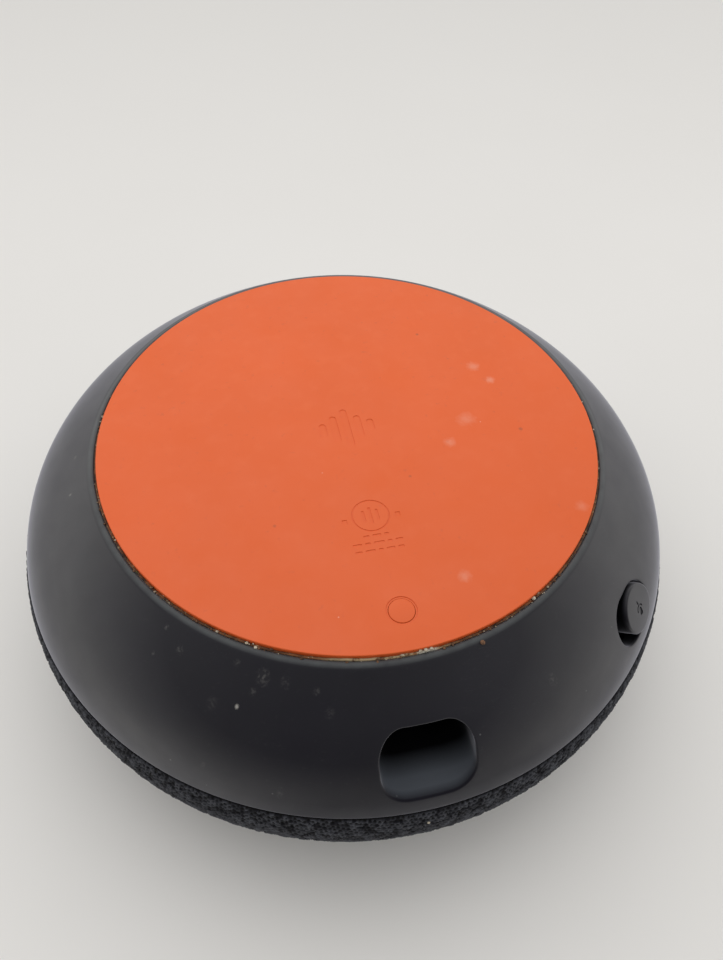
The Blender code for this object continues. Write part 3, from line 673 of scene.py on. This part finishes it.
def make_knob():
    """The mute switch's knob: its face follows the bowl, with a small microphone engraved."""
    plane = mute_plane()
    centre = MUTE_TRAVEL / 2

    turns = np.arange(96) * math.tau / 96

    def face_ring(radius, drop=0.0):
        ring = []
        for turn in turns:
            x, y = radius * math.cos(turn), radius * math.sin(turn)
            ring.append((x, y, slot.meet_one(x, y, outer_skin) + KNOB_RISE - drop))
        return ring

    soup = Soup()
    face_radius = KNOB_RADIUS - KNOB_ROUNDING
    rings = [face_ring(radius) for radius in np.linspace(face_radius, 0.0002, 14)[::-1]]
    soup.cap(rings[0])
    for turn in np.linspace(0, math.pi / 2, 6)[1:]:
        radius = face_radius + KNOB_ROUNDING * math.sin(turn)
        rings.append(face_ring(radius, KNOB_ROUNDING * (1 - math.cos(turn))))
    rings.append([(x, y, -0.0005) for x, y, z in rings[-1]])
    rings.append([(x, y, -0.0031) for x, y, z in rings[-1]])
    soup.rings(rings)
    soup.cap(rings[-1])
    knob = soup.mesh("mute_button")
    deep, above = KNOB_RISE - 0.00016, 0.002
    capsule = rounded_outline(0.00038, 0.00062, 0.00036)
    stem = rounded_outline(0.00011, 0.00030, 0.0001)
    cradle = []
    sweep = np.linspace(0, math.pi, 17)
    for radius, turns in ((0.00078, sweep), (0.00058, np.linspace(math.pi, 0, 17))):
        cradle += [(radius * math.cos(turn), radius * math.sin(turn)) for turn in turns]
    cutters = []
    for outline, y in ((capsule, -0.0004), (stem, 0.00105), (cradle, -0.0001)):
        cutters.append(prism("cutter", outline, deep, above, (0.0, y)))
    cut(knob, cutters)
    # How far below the face each point lies; the material paints the knob's side wall near black by it, as
    # painted shade.
    paint(knob, "inset", np.clip((-0.0001 - vertices(knob)[:, 2]) / 0.0003, 0, 1))
    knob.data.transform(plane @ Matrix.Translation((centre, 0, 0)))
    return knob


def make_seam_grime():
    """Dirt packed in the groove between the pad and the lip, with crumbs caught along it."""
    columns = 900
    azimuths = np.arange(columns) * math.tau / columns
    heights = 0.04146 + 0.00010 * wandering(azimuths, 260, 3) + 0.00008 * wandering(azimuths, 60, 4)
    soup = Soup()
    middle = (PAD_RADIUS + SEAT_RADIUS) / 2
    half = (SEAT_RADIUS - PAD_RADIUS) / 2
    rings = []
    for share in np.linspace(-1, 1, 5):
        rings.append(on_turned(middle + share * half, azimuths, heights - 0.00008 * share**2))
    rings.append(on_turned(middle + half, azimuths, np.full(columns, 0.0407)))
    rings.append(on_turned(middle - half, azimuths, np.full(columns, 0.0407)))
    rings.append(rings[0])
    soup.rings(rings)
    return soup.mesh("seam_grime")


def wandering(angles, waves, seed):
    """A smooth random value between -1 and 1 that closes on itself round the circle."""
    chance = np.random.default_rng(seed)
    knots = chance.uniform(-1, 1, waves)
    place = angles / math.tau * waves
    low = np.floor(place).astype(int)
    share = place - low
    share = share * share * (3 - 2 * share)
    return knots[low % waves] * (1 - share) + knots[(low + 1) % waves] * share


def add_lump(soup, place, size, chance):
    """A crumb: a small closed lump with an uneven surface."""
    golden = math.pi * (3 - math.sqrt(5))
    stretch = chance.uniform(0.6, 1.3, 3)
    rings = []
    for share in (0.15, 0.4, 0.65, 0.88):
        ring = []
        polar = math.pi * share
        for i in range(7):
            turn = i * math.tau / 7 + golden * share
            out = size * chance.uniform(0.75, 1.1)
            ring.append(
                (
                    place[0] + out * stretch[0] * math.sin(polar) * math.cos(turn),
                    place[1] + out * stretch[1] * math.sin(polar) * math.sin(turn),
                    place[2] + out * stretch[2] * math.cos(polar) * 0.7,
                )
            )
        rings.append(ring)
    soup.closed(rings)


def make_crumbs(name, count, seed, size, strays):
    """Crumbs along the groove round the pad, thicker at the front, and a few placed strays."""
    chance = np.random.default_rng(seed)
    soup = Soup()
    made = 0
    while made < count:
        azimuth = chance.uniform(-math.pi, math.pi)
        if chance.uniform() > 0.25 + 0.75 * math.exp(-((azimuth / 0.9) ** 2)):
            continue
        radius = chance.normal((PAD_RADIUS + SEAT_RADIUS) / 2 + 0.00006, 0.00014)
        lump = size * chance.lognormal(0, 0.45)
        place = on_turned(radius, azimuth, 0.0414 + 0.3 * lump)
        add_lump(soup, place, lump, chance)
        made += 1
    for place, lump in strays:
        add_lump(soup, place, lump, chance)
    return soup.mesh(name, math.radians(50))


def dome_profile():
    """(radius, height, length from the centre of the foot) down the dome from the seam."""
    rows = []
    for share in np.linspace(1, 0, 24)[:-1]:
        z = EQUATOR_Z + (FABRIC_TOP_Z - EQUATOR_Z) * share
        rows.append((BODY_RADIUS - (BODY_RADIUS - FABRIC_TOP_RADIUS) * share**2, z))
    foot_share = (1 - (FOOT_RADIUS / BODY_RADIUS) ** DOME_POWER) ** (1 / DOME_POWER)
    depth = EQUATOR_Z / foot_share
    last = math.asin(foot_share ** (DOME_POWER / 2))
    for turn in np.linspace(0, last, 140):
        radius = BODY_RADIUS * math.cos(turn) ** (2 / DOME_POWER)
        rows.append((radius, EQUATOR_Z - depth * math.sin(turn) ** (2 / DOME_POWER)))
    rows.append((FOOT_RADIUS, 0.0))
    rows.append((0.0004, 0.0))
    rows = np.array(rows)
    steps = np.linalg.norm(np.diff(rows, axis=0), axis=1)
    length = np.concatenate(([0.0], np.cumsum(steps)))
    return rows, length[-1] - length


def knit(u, v):
    """Height of the knit at places on the flat cloth, 0 in a pit and 1 on a yarn, and a random
    number for each stitch."""
    row_pitch = KNIT_PITCH * 0.86
    best = np.full(u.shape, 9.0)
    tone = np.zeros(u.shape)
    row = np.round(v / row_pitch).astype(int)
    for dr in (-1, 0, 1):
        r = row + dr
        shift = (r % 2) * 0.5
        column = np.round(u / KNIT_PITCH - shift).astype(int)
        for dc in (-1, 0, 1):
            c = column + dc
            code = (c * 73856093) ^ (r * 19349663)
            jitter_u = ((code >> 3) % 101) / 100 - 0.5
            jitter_v = ((code >> 7) % 97) / 96 - 0.5
            size = 0.75 + 0.5 * (((code >> 11) % 89) / 88)
            du = u - (c + shift + 0.22 * jitter_u) * KNIT_PITCH
            dv = v - (r + 0.22 * jitter_v) * row_pitch
            away = np.hypot(du, dv * 1.15) / (KNIT_PITCH * size)
            closer = away < best
            tone = np.where(closer, ((code >> 5) % 113) / 112, tone)
            best = np.where(closer, away, best)
    height = np.clip((best - 0.22) / 0.30, 0, 1)
    return height * height * (3 - 2 * height), tone


def make_fabric():
    """The knitted cover: one sheet stretched over the dome, with its stitches as real relief."""
    rows, lengths = dome_profile()
    fine = np.interp(-np.array(fabric_rows(lengths)), -lengths, np.arange(len(lengths)))
    radius = np.interp(fine, np.arange(len(rows)), rows[:, 0])
    height = np.interp(fine, np.arange(len(rows)), rows[:, 1])
    length = np.interp(fine, np.arange(len(rows)), lengths)
    azimuths = np.arange(FABRIC_COLUMNS) * math.tau / FABRIC_COLUMNS
    slope = np.stack((np.gradient(radius), np.gradient(height)), axis=1)
    slope /= np.linalg.norm(slope, axis=1)[:, None]
    normal_r, normal_z = -slope[:, 1], slope[:, 0]
    u = length[:, None] * np.sin(azimuths)[None, :]
    v = -length[:, None] * np.cos(azimuths)[None, :]
    relief, tone = knit(u, v)
    sink = KNIT_DEPTH * (1 - relief) - 0.00014 * (tone - 0.5)
    fade = np.clip(length / 0.02, 0, 1)[:, None]
    sink = sink * fade
    r = radius[:, None] - sink * normal_r[:, None]
    z = np.maximum(height[:, None] - sink * normal_z[:, None], 0.0)
    points = on_turned(r, azimuths[None, :], z).reshape(-1, 3)
    tuck = (
        (FABRIC_TOP_RADIUS - 0.0011, FABRIC_TOP_Z - 0.0002),
        (FABRIC_TOP_RADIUS - 0.0004, FABRIC_TOP_Z + 0.00005),
    )
    tucked = [on_turned(tr, azimuths, np.full(FABRIC_COLUMNS, tz)) for tr, tz in tuck]
    points = np.concatenate((*tucked, points))
    total_rows = len(radius) + len(tuck)
    i, j = np.meshgrid(np.arange(total_rows - 1), np.arange(FABRIC_COLUMNS), indexing="ij")
    k = (j + 1) % FABRIC_COLUMNS
    here = i * FABRIC_COLUMNS
    below = here + FABRIC_COLUMNS
    quads = np.stack((below + j, below + k, here + k, here + j), axis=-1).reshape(-1, 4)
    mesh = bpy.data.meshes.new("fabric_sheet")
    mesh.vertices.add(len(points))
    mesh.vertices.foreach_set("co", points.astype(np.float32).ravel())
    mesh.loops.add(quads.size)
    mesh.loops.foreach_set("vertex_index", quads.astype(np.int32).ravel())
    mesh.polygons.add(len(quads))
    mesh.polygons.foreach_set("loop_start", np.arange(0, quads.size, 4, dtype=np.int32))
    mesh.update(calc_edges=True)
    mesh.shade_smooth()
    pad_rows = len(tuck) * FABRIC_COLUMNS
    piece = bpy.data.objects.new("fabric_sheet", mesh)
    bpy.context.scene.collection.objects.link(piece)
    for name, values in (("knit_relief", relief), ("knit_tone", tone)):
        paint(piece, name, np.concatenate((np.zeros(pad_rows), values.ravel())))
    return piece


def fabric_rows(lengths):
    """Lengths from the foot's centre at which the fabric has rows, closest where it shows most."""
    full = lengths[0]
    rows = [full]
    while rows[-1] > 0.0004:
        down = full - rows[-1]
        if down < 0.013:
            step = 0.0002
        elif down < 0.028:
            step = 0.0003
        else:
            step = 0.0008
        rows.append(max(rows[-1] - step, 0.0004))
    return rows


def make_contacts():
    """Gilt contact strips on the socket's tongue."""
    low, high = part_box("usb_contact_tongue")
    soup = Soup()
    for index in range(5):
        x = (low.x + high.x) / 2 + (index - 2) * 0.00065
        outline = rounded_outline(0.00017, 0.0011, 0.00008)
        rings = []
        for level in (low.z - 0.00004, low.z + 0.00002):
            rings.append([(x + a, low.y + 0.0014 + b, level) for a, b in outline])
        soup.closed(rings)
    return soup.mesh("socket_contacts")


# Materials


class Look:
    """A node material being built round one Principled shader."""

    def __init__(self, name, colour, roughness, **sockets):
        self.material = bpy.data.materials.new(name)
        self.material.use_nodes = True
        self.material.diffuse_color = (*colour, 1.0)
        self.tree = self.material.node_tree
        self.shader = self.tree.nodes["Principled BSDF"]
        self.shader.inputs["Base Color"].default_value = (*colour, 1.0)
        self.shader.inputs["Roughness"].default_value = roughness
        for socket, value in sockets.items():
            self.shader.inputs[socket.replace("_", " ")].default_value = value
        self.place = self.tree.nodes.new("ShaderNodeTexCoord").outputs["Object"]

    def node(self, kind, inputs=None, **settings):
        made = self.tree.nodes.new(kind)
        for name, value in settings.items():
            setattr(made, name, value)
        for socket, value in (inputs or {}).items():
            if isinstance(value, bpy.types.NodeSocket):
                self.tree.links.new(value, made.inputs[socket])
            else:
                made.inputs[socket].default_value = value
        return made

    def axes(self):
        """The object's X, Y and Z, as three outputs."""
        return self.node("ShaderNodeSeparateXYZ", {"Vector": self.place}).outputs

    def link(self, output, socket):
        self.tree.links.new(output, self.shader.inputs[socket])

    def stretched(self, x, y, z, turn=0.0):
        mapping = self.node(
            "ShaderNodeMapping", {"Vector": self.place, "Scale": (x, y, z), "Rotation": (0, 0, turn)}
        )
        return mapping.outputs["Vector"]

    def noise(self, size, detail=2.0, place=None, rough=0.5):
        inputs = {"Vector": place or self.place, "Scale": 1 / size, "Detail": detail, "Roughness": rough}
        return self.node("ShaderNodeTexNoise", inputs).outputs["Fac"]

    def cells(self, size, output="Distance", feature="F1"):
        made = self.node("ShaderNodeTexVoronoi", {"Vector": self.place, "Scale": 1 / size}, feature=feature)
        return made.outputs[output]

    def spread(self, value, low, high, to_low=0.0, to_high=1.0):
        inputs = {"Value": value, "From Min": low, "From Max": high, "To Min": to_low, "To Max": to_high}
        return self.node("ShaderNodeMapRange", inputs, clamp=True).outputs["Result"]

    def math(self, operation, a, b=0.0):
        return self.node("ShaderNodeMath", {0: a, 1: b}, operation=operation).outputs[0]

    def times(self, a, b):
        return self.math("MULTIPLY", a, b)

    def patches(self, size, detail, low, high, to_low=0.0, to_high=1.0):
        """Noise of a given size, spread between two levels."""
        return self.spread(self.noise(size, detail), low, high, to_low, to_high)

    def mix(self, amount, a, b):
        a, b = ((*value, 1.0) if isinstance(value, tuple) else value for value in (a, b))
        return self.node("ShaderNodeMix", {0: amount, 6: a, 7: b}, data_type="RGBA").outputs[2]

    def attribute(self, name):
        made = self.node("ShaderNodeAttribute", attribute_name=name)
        return made.outputs["Fac"]

    def spot(self, x, y, radius, soft, wobble=0.0):
        """1 inside a round spot in plan, 0 outside, with an uneven edge."""
        axes = self.axes()
        dx = self.math("SUBTRACT", axes[0], x)
        dy = self.math("SUBTRACT", axes[1], y)
        away = self.math("SQRT", self.math("ADD", self.times(dx, dx), self.times(dy, dy)))
        if wobble:
            uneven = self.times(self.math("SUBTRACT", self.noise(radius * 0.8), 0.5), wobble)
            away = self.math("ADD", away, uneven)
        return self.spread(away, radius + soft, max(radius - soft, 0.0))

    def bump(self, height, distance, strength=1.0):
        previous = self.shader.inputs["Normal"].links
        inputs = {"Height": height, "Distance": distance, "Strength": strength}
        if previous:
            inputs["Normal"] = previous[0].from_socket
        made = self.node("ShaderNodeBump", inputs)
        self.link(made.outputs["Normal"], "Normal")


def casing_look(name="case_plastic", worn_and_lit=True):
    """Charcoal moulded plastic with a fine matt texture, dust and smudges, a lip top painted paler as wear
    from rubbing and as painted light, and painted light and shade in the recess and slot.
    """
    look = Look(
        name,
        CASE_COLOUR,
        CASE_ROUGHNESS,
        Sheen_Weight=CASE_SHEEN[0],
        Sheen_Roughness=CASE_SHEEN[1],
        Sheen_Tint=(0.88, 0.89, 1.0, 1.0),
    )
    dark = tuple(0.85 * c for c in CASE_COLOUR)
    light = tuple(1.15 * c for c in CASE_COLOUR)
    tone = look.mix(look.patches(0.012, 3, 0.3, 0.7), dark, light)
    tone = look.mix(look.patches(0.0006, 3, 0.62, 0.85, 0, 0.35), tone, (0.028, 0.028, 0.031))
    if worn_and_lit:
        # The lip's top is painted paler in patches: partly wear from rubbing, partly painted light on its
        # up-facing top.
        height = look.axes()[2]
        lip_wear_and_light_patches = look.patches(0.002, 3, 0.2, 0.6, 0.4, 1.0)
        rubbed_and_lit_lip = look.times(look.spread(height, *RUBBED_AND_LIT_LIP_Z), lip_wear_and_light_patches)
        tone = look.mix(rubbed_and_lit_lip, tone, (0.052, 0.058, 0.062))
        chosen = look.spread(look.cells(0.0016, "Color"), 0.80, 0.82)
        dots = look.times(look.spread(look.cells(0.0016), 0.085, 0.055), chosen)
        tone = look.mix(look.times(dots, 0.4), tone, (0.20, 0.20, 0.20))
        broken = look.patches(0.0004, 3, 0.46, 0.60, 0.1, 1.0)
        for x, y, radius, strength in CASE_DUST:
            mark = look.times(look.spot(x, y, radius, radius * 0.6, radius * 1.4), strength)
            mark = look.times(mark, broken if strength < 0.9 else 1.0)
            tone = look.mix(mark, tone, (0.34, 0.33, 0.31))
        streak = look.noise(0.004, 4, look.stretched(1.0, 9.0, 9.0, 0.6))
        line = look.spread(look.math("ABSOLUTE", look.math("SUBTRACT", streak, 0.5)), 0.004, 0.0)
        patch = look.patches(0.009, 2, 0.56, 0.68)
        scratches = look.times(look.times(line, patch), 0.25)
        tone = look.mix(scratches, tone, (0.10, 0.10, 0.10))
    # Painted light and shade in the pockets: the recess goes from a painted lit grey at its mouth to
    # painted black shade at its back, and the slot's walls and the knob's side wall are painted near black
    # as shade.
    inset = look.attribute("inset")
    apart = look.axes()
    into_recess = look.spread(apart[1], -0.0446, -0.0415)
    recess_painted_light_and_shade = look.mix(into_recess, (0.066, 0.074, 0.088), (0.0015, 0.0015, 0.002))
    beside = look.spread(apart[0], 0.008, 0.009)
    tone = look.mix(inset, tone, look.mix(beside, recess_painted_light_and_shade, (0.002, 0.002, 0.0025)))
    look.link(tone, "Base Color")
    uneven = look.patches(0.004, 3, 0.3, 0.7, CASE_ROUGHNESS - 0.04, CASE_ROUGHNESS + 0.04)
    look.link(uneven, "Roughness")
    edge_on = look.node("ShaderNodeLayerWeight", {"Blend": 0.5}).outputs["Facing"]
    gloss = look.spread(edge_on, 0.16, 0.42, *CASE_GLOSS)
    gloss = look.times(gloss, look.spread(edge_on, 0.50, 0.85, 1.0, 0.08))
    gloss = look.times(gloss, look.spread(inset, 0, 1, 1.0, 0.15))
    low = look.times(look.spread(apart[2], 0.037, 0.029), look.spread(apart[1], -0.036, -0.046))
    gloss = look.times(gloss, look.math("SUBTRACT", 1.0, look.times(low, 0.75)))
    look.link(gloss, "Specular IOR Level")
    look.bump(look.noise(0.00016, 2), 0.000012, 0.5)
    return look.material


def silicone_look():
    """Orange silicone, faintly mottled, with smudges and lint picked up in use, and painted shade that
    darkens it towards the front.
    """
    look = Look("pad_silicone", (0.79, 0.117, 0.013), 0.52)
    tone = look.mix(look.patches(0.018, 2, 0.3, 0.7), (0.77, 0.113, 0.011), (0.81, 0.122, 0.016))
    tone = look.mix(look.patches(0.0022, 4, 0.5, 0.8, 0, 0.35), tone, (0.83, 0.150, 0.036))
    tone = look.mix(look.patches(0.0008, 2, 0.66, 0.8, 0, 0.5), tone, (0.62, 0.10, 0.03))
    for x, y, radius, strength in PAD_SMUDGES:
        smudge = look.times(look.spot(x, y, radius, radius * 0.7, radius * 1.6), strength)
        tone = look.mix(smudge, tone, (0.86, 0.42, 0.30))
    for x, y, radius, strength in PAD_STAINS:
        stain = look.times(look.spot(x, y, radius, radius * 0.5, radius * 1.2), strength)
        tone = look.mix(stain, tone, (0.25, 0.06, 0.03))
    # Painted shade: the orange is mixed towards a darker orange towards -Y, the pad's front edge.
    forward = look.axes()[1]
    tone = look.mix(look.spread(forward, 0.015, -0.035, 0, 0.5), tone, (0.64, 0.092, 0.010))
    near = look.cells(0.0024)
    chosen = look.spread(look.cells(0.0024, "Color"), 0.86, 0.88)
    lint = look.times(look.spread(near, 0.05, 0.03), chosen)
    tone = look.mix(look.times(lint, 0.45), tone, (0.85, 0.5, 0.4))
    look.link(tone, "Base Color")
    look.link(look.patches(0.006, 3, 0.3, 0.7, 0.47, 0.58), "Roughness")
    look.bump(look.noise(0.0003, 3), 0.000012, 0.35)
    return look.material


def fabric_look():
    """Blue-grey and charcoal yarn; the pits between the stitches are painted near black as painted shade.
    """
    look = Look("knit_fabric", (0.03, 0.032, 0.038), 0.9, Specular_IOR_Level=0.2, Sheen_Weight=0.06)
    relief = look.attribute("knit_relief")
    tone = look.attribute("knit_tone")
    yarn = look.mix(look.spread(tone, 0.15, 0.9), (0.004, 0.004, 0.008), (0.095, 0.100, 0.118))
    fibre = look.noise(0.00022, 3)
    yarn = look.mix(look.spread(fibre, 0.4, 0.75, 0, 0.5), yarn, (0.022, 0.023, 0.030))
    # Painted shade: the pits between the stitches are painted near black.
    colour = look.mix(look.spread(relief, 0.1, 0.85), (0.0008, 0.0008, 0.0012), yarn)
    look.link(colour, "Base Color")
    look.link(look.patches(0.0015, 2, 0.3, 0.7, 0.78, 0.92), "Roughness")
    look.bump(fibre, 0.00006, 0.8)
    return look.material


def grime_look():
    look = Look("packed_dirt", (0.09, 0.045, 0.02), 0.9)
    tone = look.mix(look.patches(0.0011, 4, 0.35, 0.65), (0.035, 0.018, 0.010), (0.22, 0.085, 0.030))
    tone = look.mix(look.patches(0.0005, 2, 0.60, 0.72, 0, 0.8), tone, (0.42, 0.33, 0.20))
    tone = look.mix(look.patches(0.0009, 2, 0.64, 0.74, 0, 0.6), tone, (0.12, 0.16, 0.05))
    cream = look.times(look.spot(-0.0030, -0.0349, 0.0065, 0.002), look.patches(0.0007, 3, 0.35, 0.5))
    tone = look.mix(cream, tone, (0.40, 0.31, 0.18))
    fleck = look.times(look.spot(0.0017, -0.0349, 0.0011, 0.0003), 0.85)
    tone = look.mix(fleck, tone, (0.62, 0.60, 0.52))
    look.link(tone, "Base Color")
    look.bump(look.noise(0.0002, 3), 0.0001, 0.9)
    return look.material


def crumb_look(name, dark, pale):
    look = Look(name, pale, 0.85)
    look.link(look.mix(look.patches(0.0006, 3, 0.35, 0.65), dark, pale), "Base Color")
    look.bump(look.noise(0.00015, 2), 0.00005, 0.7)
    return look.material


def plain_look(name, colour, roughness, grain=0.0005, depth=0.00001, vary=0.15, **sockets):
    """A moulded or cast material: slightly uneven in colour, gloss and surface."""
    look = Look(name, colour, roughness, **sockets)
    darker = tuple(c * (1 - vary) for c in colour)
    lighter = tuple(min(c * (1 + vary), 1.0) for c in colour)
    look.link(look.mix(look.patches(grain * 8, 3, 0.3, 0.7), darker, lighter), "Base Color")
    look.link(
        look.patches(grain * 3, 2, 0.3, 0.7, roughness * 0.88, min(roughness * 1.12, 1.0)),
        "Roughness",
    )
    look.bump(look.noise(grain, 2), depth, 0.5)
    return look.material


def brushed_look(name, colour, roughness):
    """Rolled or plated metal with faint lines along one way."""
    look = Look(name, colour, roughness, Metallic=1.0)
    lines = look.noise(0.002, 3, look.stretched(1.0, 14.0, 14.0))
    look.link(look.mix(look.spread(lines, 0.3, 0.7), tuple(c * 0.8 for c in colour), colour), "Base Color")
    look.link(look.spread(lines, 0.3, 0.7, roughness * 0.8, roughness * 1.25), "Roughness")
    look.bump(lines, 0.000004, 0.4)
    return look.material


def board_look():
    look = Look("circuit_board", (0.012, 0.09, 0.035), 0.35)
    tracks = look.spread(look.cells(0.0014, "Distance", "DISTANCE_TO_EDGE"), 0.03, 0.05)
    look.link(look.mix(tracks, (0.03, 0.16, 0.06), (0.010, 0.075, 0.030)), "Base Color")
    look.link(look.patches(0.003, 2, 0.3, 0.7, 0.28, 0.42), "Roughness")
    look.bump(tracks, 0.00002, 0.6)
    return look.material


def weave_look():
    look = Look("treated_cloth", (0.42, 0.27, 0.12), 0.8)
    threads = look.node("ShaderNodeTexChecker", {"Vector": look.place, "Scale": 3000.0})
    look.link(look.mix(threads.outputs["Fac"], (0.34, 0.21, 0.09), (0.48, 0.32, 0.15)), "Base Color")
    look.bump(threads.outputs["Fac"], 0.00004, 0.7)
    return look.material


def floor_look():
    look = Look("pale_table", (0.80, 0.79, 0.77), 0.55)
    tone = look.mix(look.patches(0.06, 3, 0.3, 0.7), (0.795, 0.788, 0.772), (0.810, 0.804, 0.790))
    # Painted shade: the table is darkened further back (higher Y), where the light falls off.
    away = look.axes()[1]
    tone = look.mix(look.spread(away, 0.06, 0.30), tone, (0.68, 0.675, 0.66))
    look.link(tone, "Base Color")
    look.bump(look.noise(0.0012, 3), 0.00002, 0.2)
    return look.material


def slot_looks():
    """A material for each material slot of the record."""
    return {
        "silicone": silicone_look(),
        "casing": casing_look(),
        "fabric": fabric_look(),
        "black_plastic": plain_look("black_plastic", (0.018, 0.018, 0.019), 0.4),
        "pale_plastic": plain_look("pale_plastic", (0.62, 0.61, 0.58), 0.45),
        "clear_plastic": plain_look("clear_plastic", (0.82, 0.84, 0.86), 0.15, Transmission_Weight=0.8),
        "adhesive": plain_look("adhesive", (0.70, 0.68, 0.60), 0.5, vary=0.08),
        "film": plain_look("film", (0.55, 0.22, 0.04), 0.25),
        "board": board_look(),
        "chip": plain_look("chip_resin", (0.016, 0.016, 0.017), 0.55),
        "rubber": plain_look("rubber", (0.022, 0.022, 0.022), 0.7),
        "foam": plain_look("foam", (0.05, 0.05, 0.05), 0.95, grain=0.0003, depth=0.0001),
        "steel": brushed_look("steel", (0.62, 0.62, 0.63), 0.30),
        "iron": plain_look("iron", (0.45, 0.45, 0.46), 0.38, Metallic=1.0),
        "ferrite": plain_look("ferrite", (0.06, 0.06, 0.065), 0.6),
        "aluminium": brushed_look("aluminium", (0.80, 0.80, 0.81), 0.28),
        "copper": brushed_look("copper", (0.80, 0.36, 0.20), 0.30),
        "paper": plain_look("paper", (0.05, 0.045, 0.04), 0.9, grain=0.0004, depth=0.00005),
        "cloth": weave_look(),
        "red_insulation": plain_look("red_insulation", (0.50, 0.02, 0.02), 0.45),
    }


def dress(piece, material, body="casing"):
    """Gives a new piece its material and the body that it rides on."""
    piece.data.materials.clear()
    piece.data.materials.append(material)
    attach(piece, body)


def dress_frame(looks):
    """Gives each CAD node the material of its slot in the record."""
    for entry in frame["record"]["subparts"]:
        for holder in frame["nodes"][entry["node"]].material_slots:
            holder.link = "OBJECT"
            holder.material = looks[entry["material_slot"]]


def make_stage():
    mesh = bpy.data.meshes.new("table_top")
    half = 3.0
    mesh.from_pydata(
        [(-half, -half, 0), (half, -half, 0), (half, half, 0), (-half, half, 0)], [], [(0, 1, 2, 3)]
    )
    table_top = bpy.data.objects.new("table_top", mesh)
    bpy.context.scene.collection.objects.link(table_top)
    mesh.materials.append(floor_look())


def make_lights():
    world = bpy.data.worlds.new("studio")
    world.use_nodes = True
    tree = world.node_tree
    sky = tree.nodes["Background"]
    sky.inputs["Color"].default_value = (1.0, 0.985, 0.965, 1.0)
    lean = tree.nodes.new("ShaderNodeVectorMath")
    lean.operation = "DOT_PRODUCT"
    lean.inputs[1].default_value = BACKWARDS
    fade = tree.nodes.new("ShaderNodeMapRange")
    fade.interpolation_type = "SMOOTHSTEP"
    fade.inputs["From Min"].default_value = -1.0
    fade.inputs["From Max"].default_value = -0.2
    fade.inputs["To Min"].default_value, fade.inputs["To Max"].default_value = SURROUNDINGS
    place = tree.nodes.new("ShaderNodeTexCoord")
    tree.links.new(place.outputs["Generated"], lean.inputs[0])
    tree.links.new(lean.outputs["Value"], fade.inputs["Value"])
    tree.links.new(fade.outputs["Result"], sky.inputs["Strength"])
    bpy.context.scene.world = world
    for name, place, target, size, power, colour in LAMPS:
        light = bpy.data.lights.new(name, "AREA")
        light.shape = "RECTANGLE"
        light.size, light.size_y = size
        light.energy = power
        light.color = colour
        lamp = bpy.data.objects.new(name, light)
        lamp.location = place
        lamp.rotation_euler = (Vector(target) - Vector(place)).to_track_quat("-Z", "Y").to_euler()
        bpy.context.scene.collection.objects.link(lamp)


def make_camera():
    bpy.context.scene.view_settings.view_transform = "Standard"
    camera = bpy.data.cameras.new("camera")
    camera.lens = CAMERA_LENS
    camera.sensor_width = CAMERA_SENSOR
    camera.clip_start = 0.005
    viewer = bpy.data.objects.new("camera", camera)
    right = CAMERA_FORWARD.cross(CAMERA_UP).normalized()
    up = right.cross(CAMERA_FORWARD).normalized()
    turn = Matrix((right, up, -CAMERA_FORWARD.normalized())).transposed().to_4x4()
    viewer.matrix_world = Matrix.Translation(CAMERA_PLACE) @ turn
    bpy.context.scene.collection.objects.link(viewer)
    bpy.context.scene.camera = viewer


looks = slot_looks()
dress_frame(looks)

case_bowl = make_case()
case_floor = make_case_floor()
dress(case_bowl, looks["casing"])
dress(case_floor, looks["casing"])
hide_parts("lower_case")

pad_cover = make_pad()
dress(pad_cover, looks["silicone"])
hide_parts("base_pad")
reset_disc = make_reset_disc()
dress(reset_disc, looks["silicone"], "reset_button")
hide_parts("reset_pad_disc")

mute_button = make_knob()
dress(mute_button, casing_look("knob_plastic", worn_and_lit=False), "mute_slider")
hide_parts("mute_knob")

fabric_sheet = make_fabric()
dress(fabric_sheet, looks["fabric"])
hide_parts("fabric_cover")

dress(make_seam_grime(), grime_look())
dress(
    make_crumbs("crumbs_brown", 130, 11, 0.00012, STRAY_BROWN),
    crumb_look("crumb_brown", (0.06, 0.03, 0.015), (0.20, 0.10, 0.05)),
)
dress(
    make_crumbs("crumbs_pale", 70, 12, 0.00011, STRAY_PALE),
    crumb_look("crumb_pale", (0.36, 0.30, 0.21), (0.62, 0.57, 0.47)),
)
dress(make_contacts(), brushed_look("gilt", (0.90, 0.62, 0.25), 0.25))

make_stage()
make_lights()
make_camera()
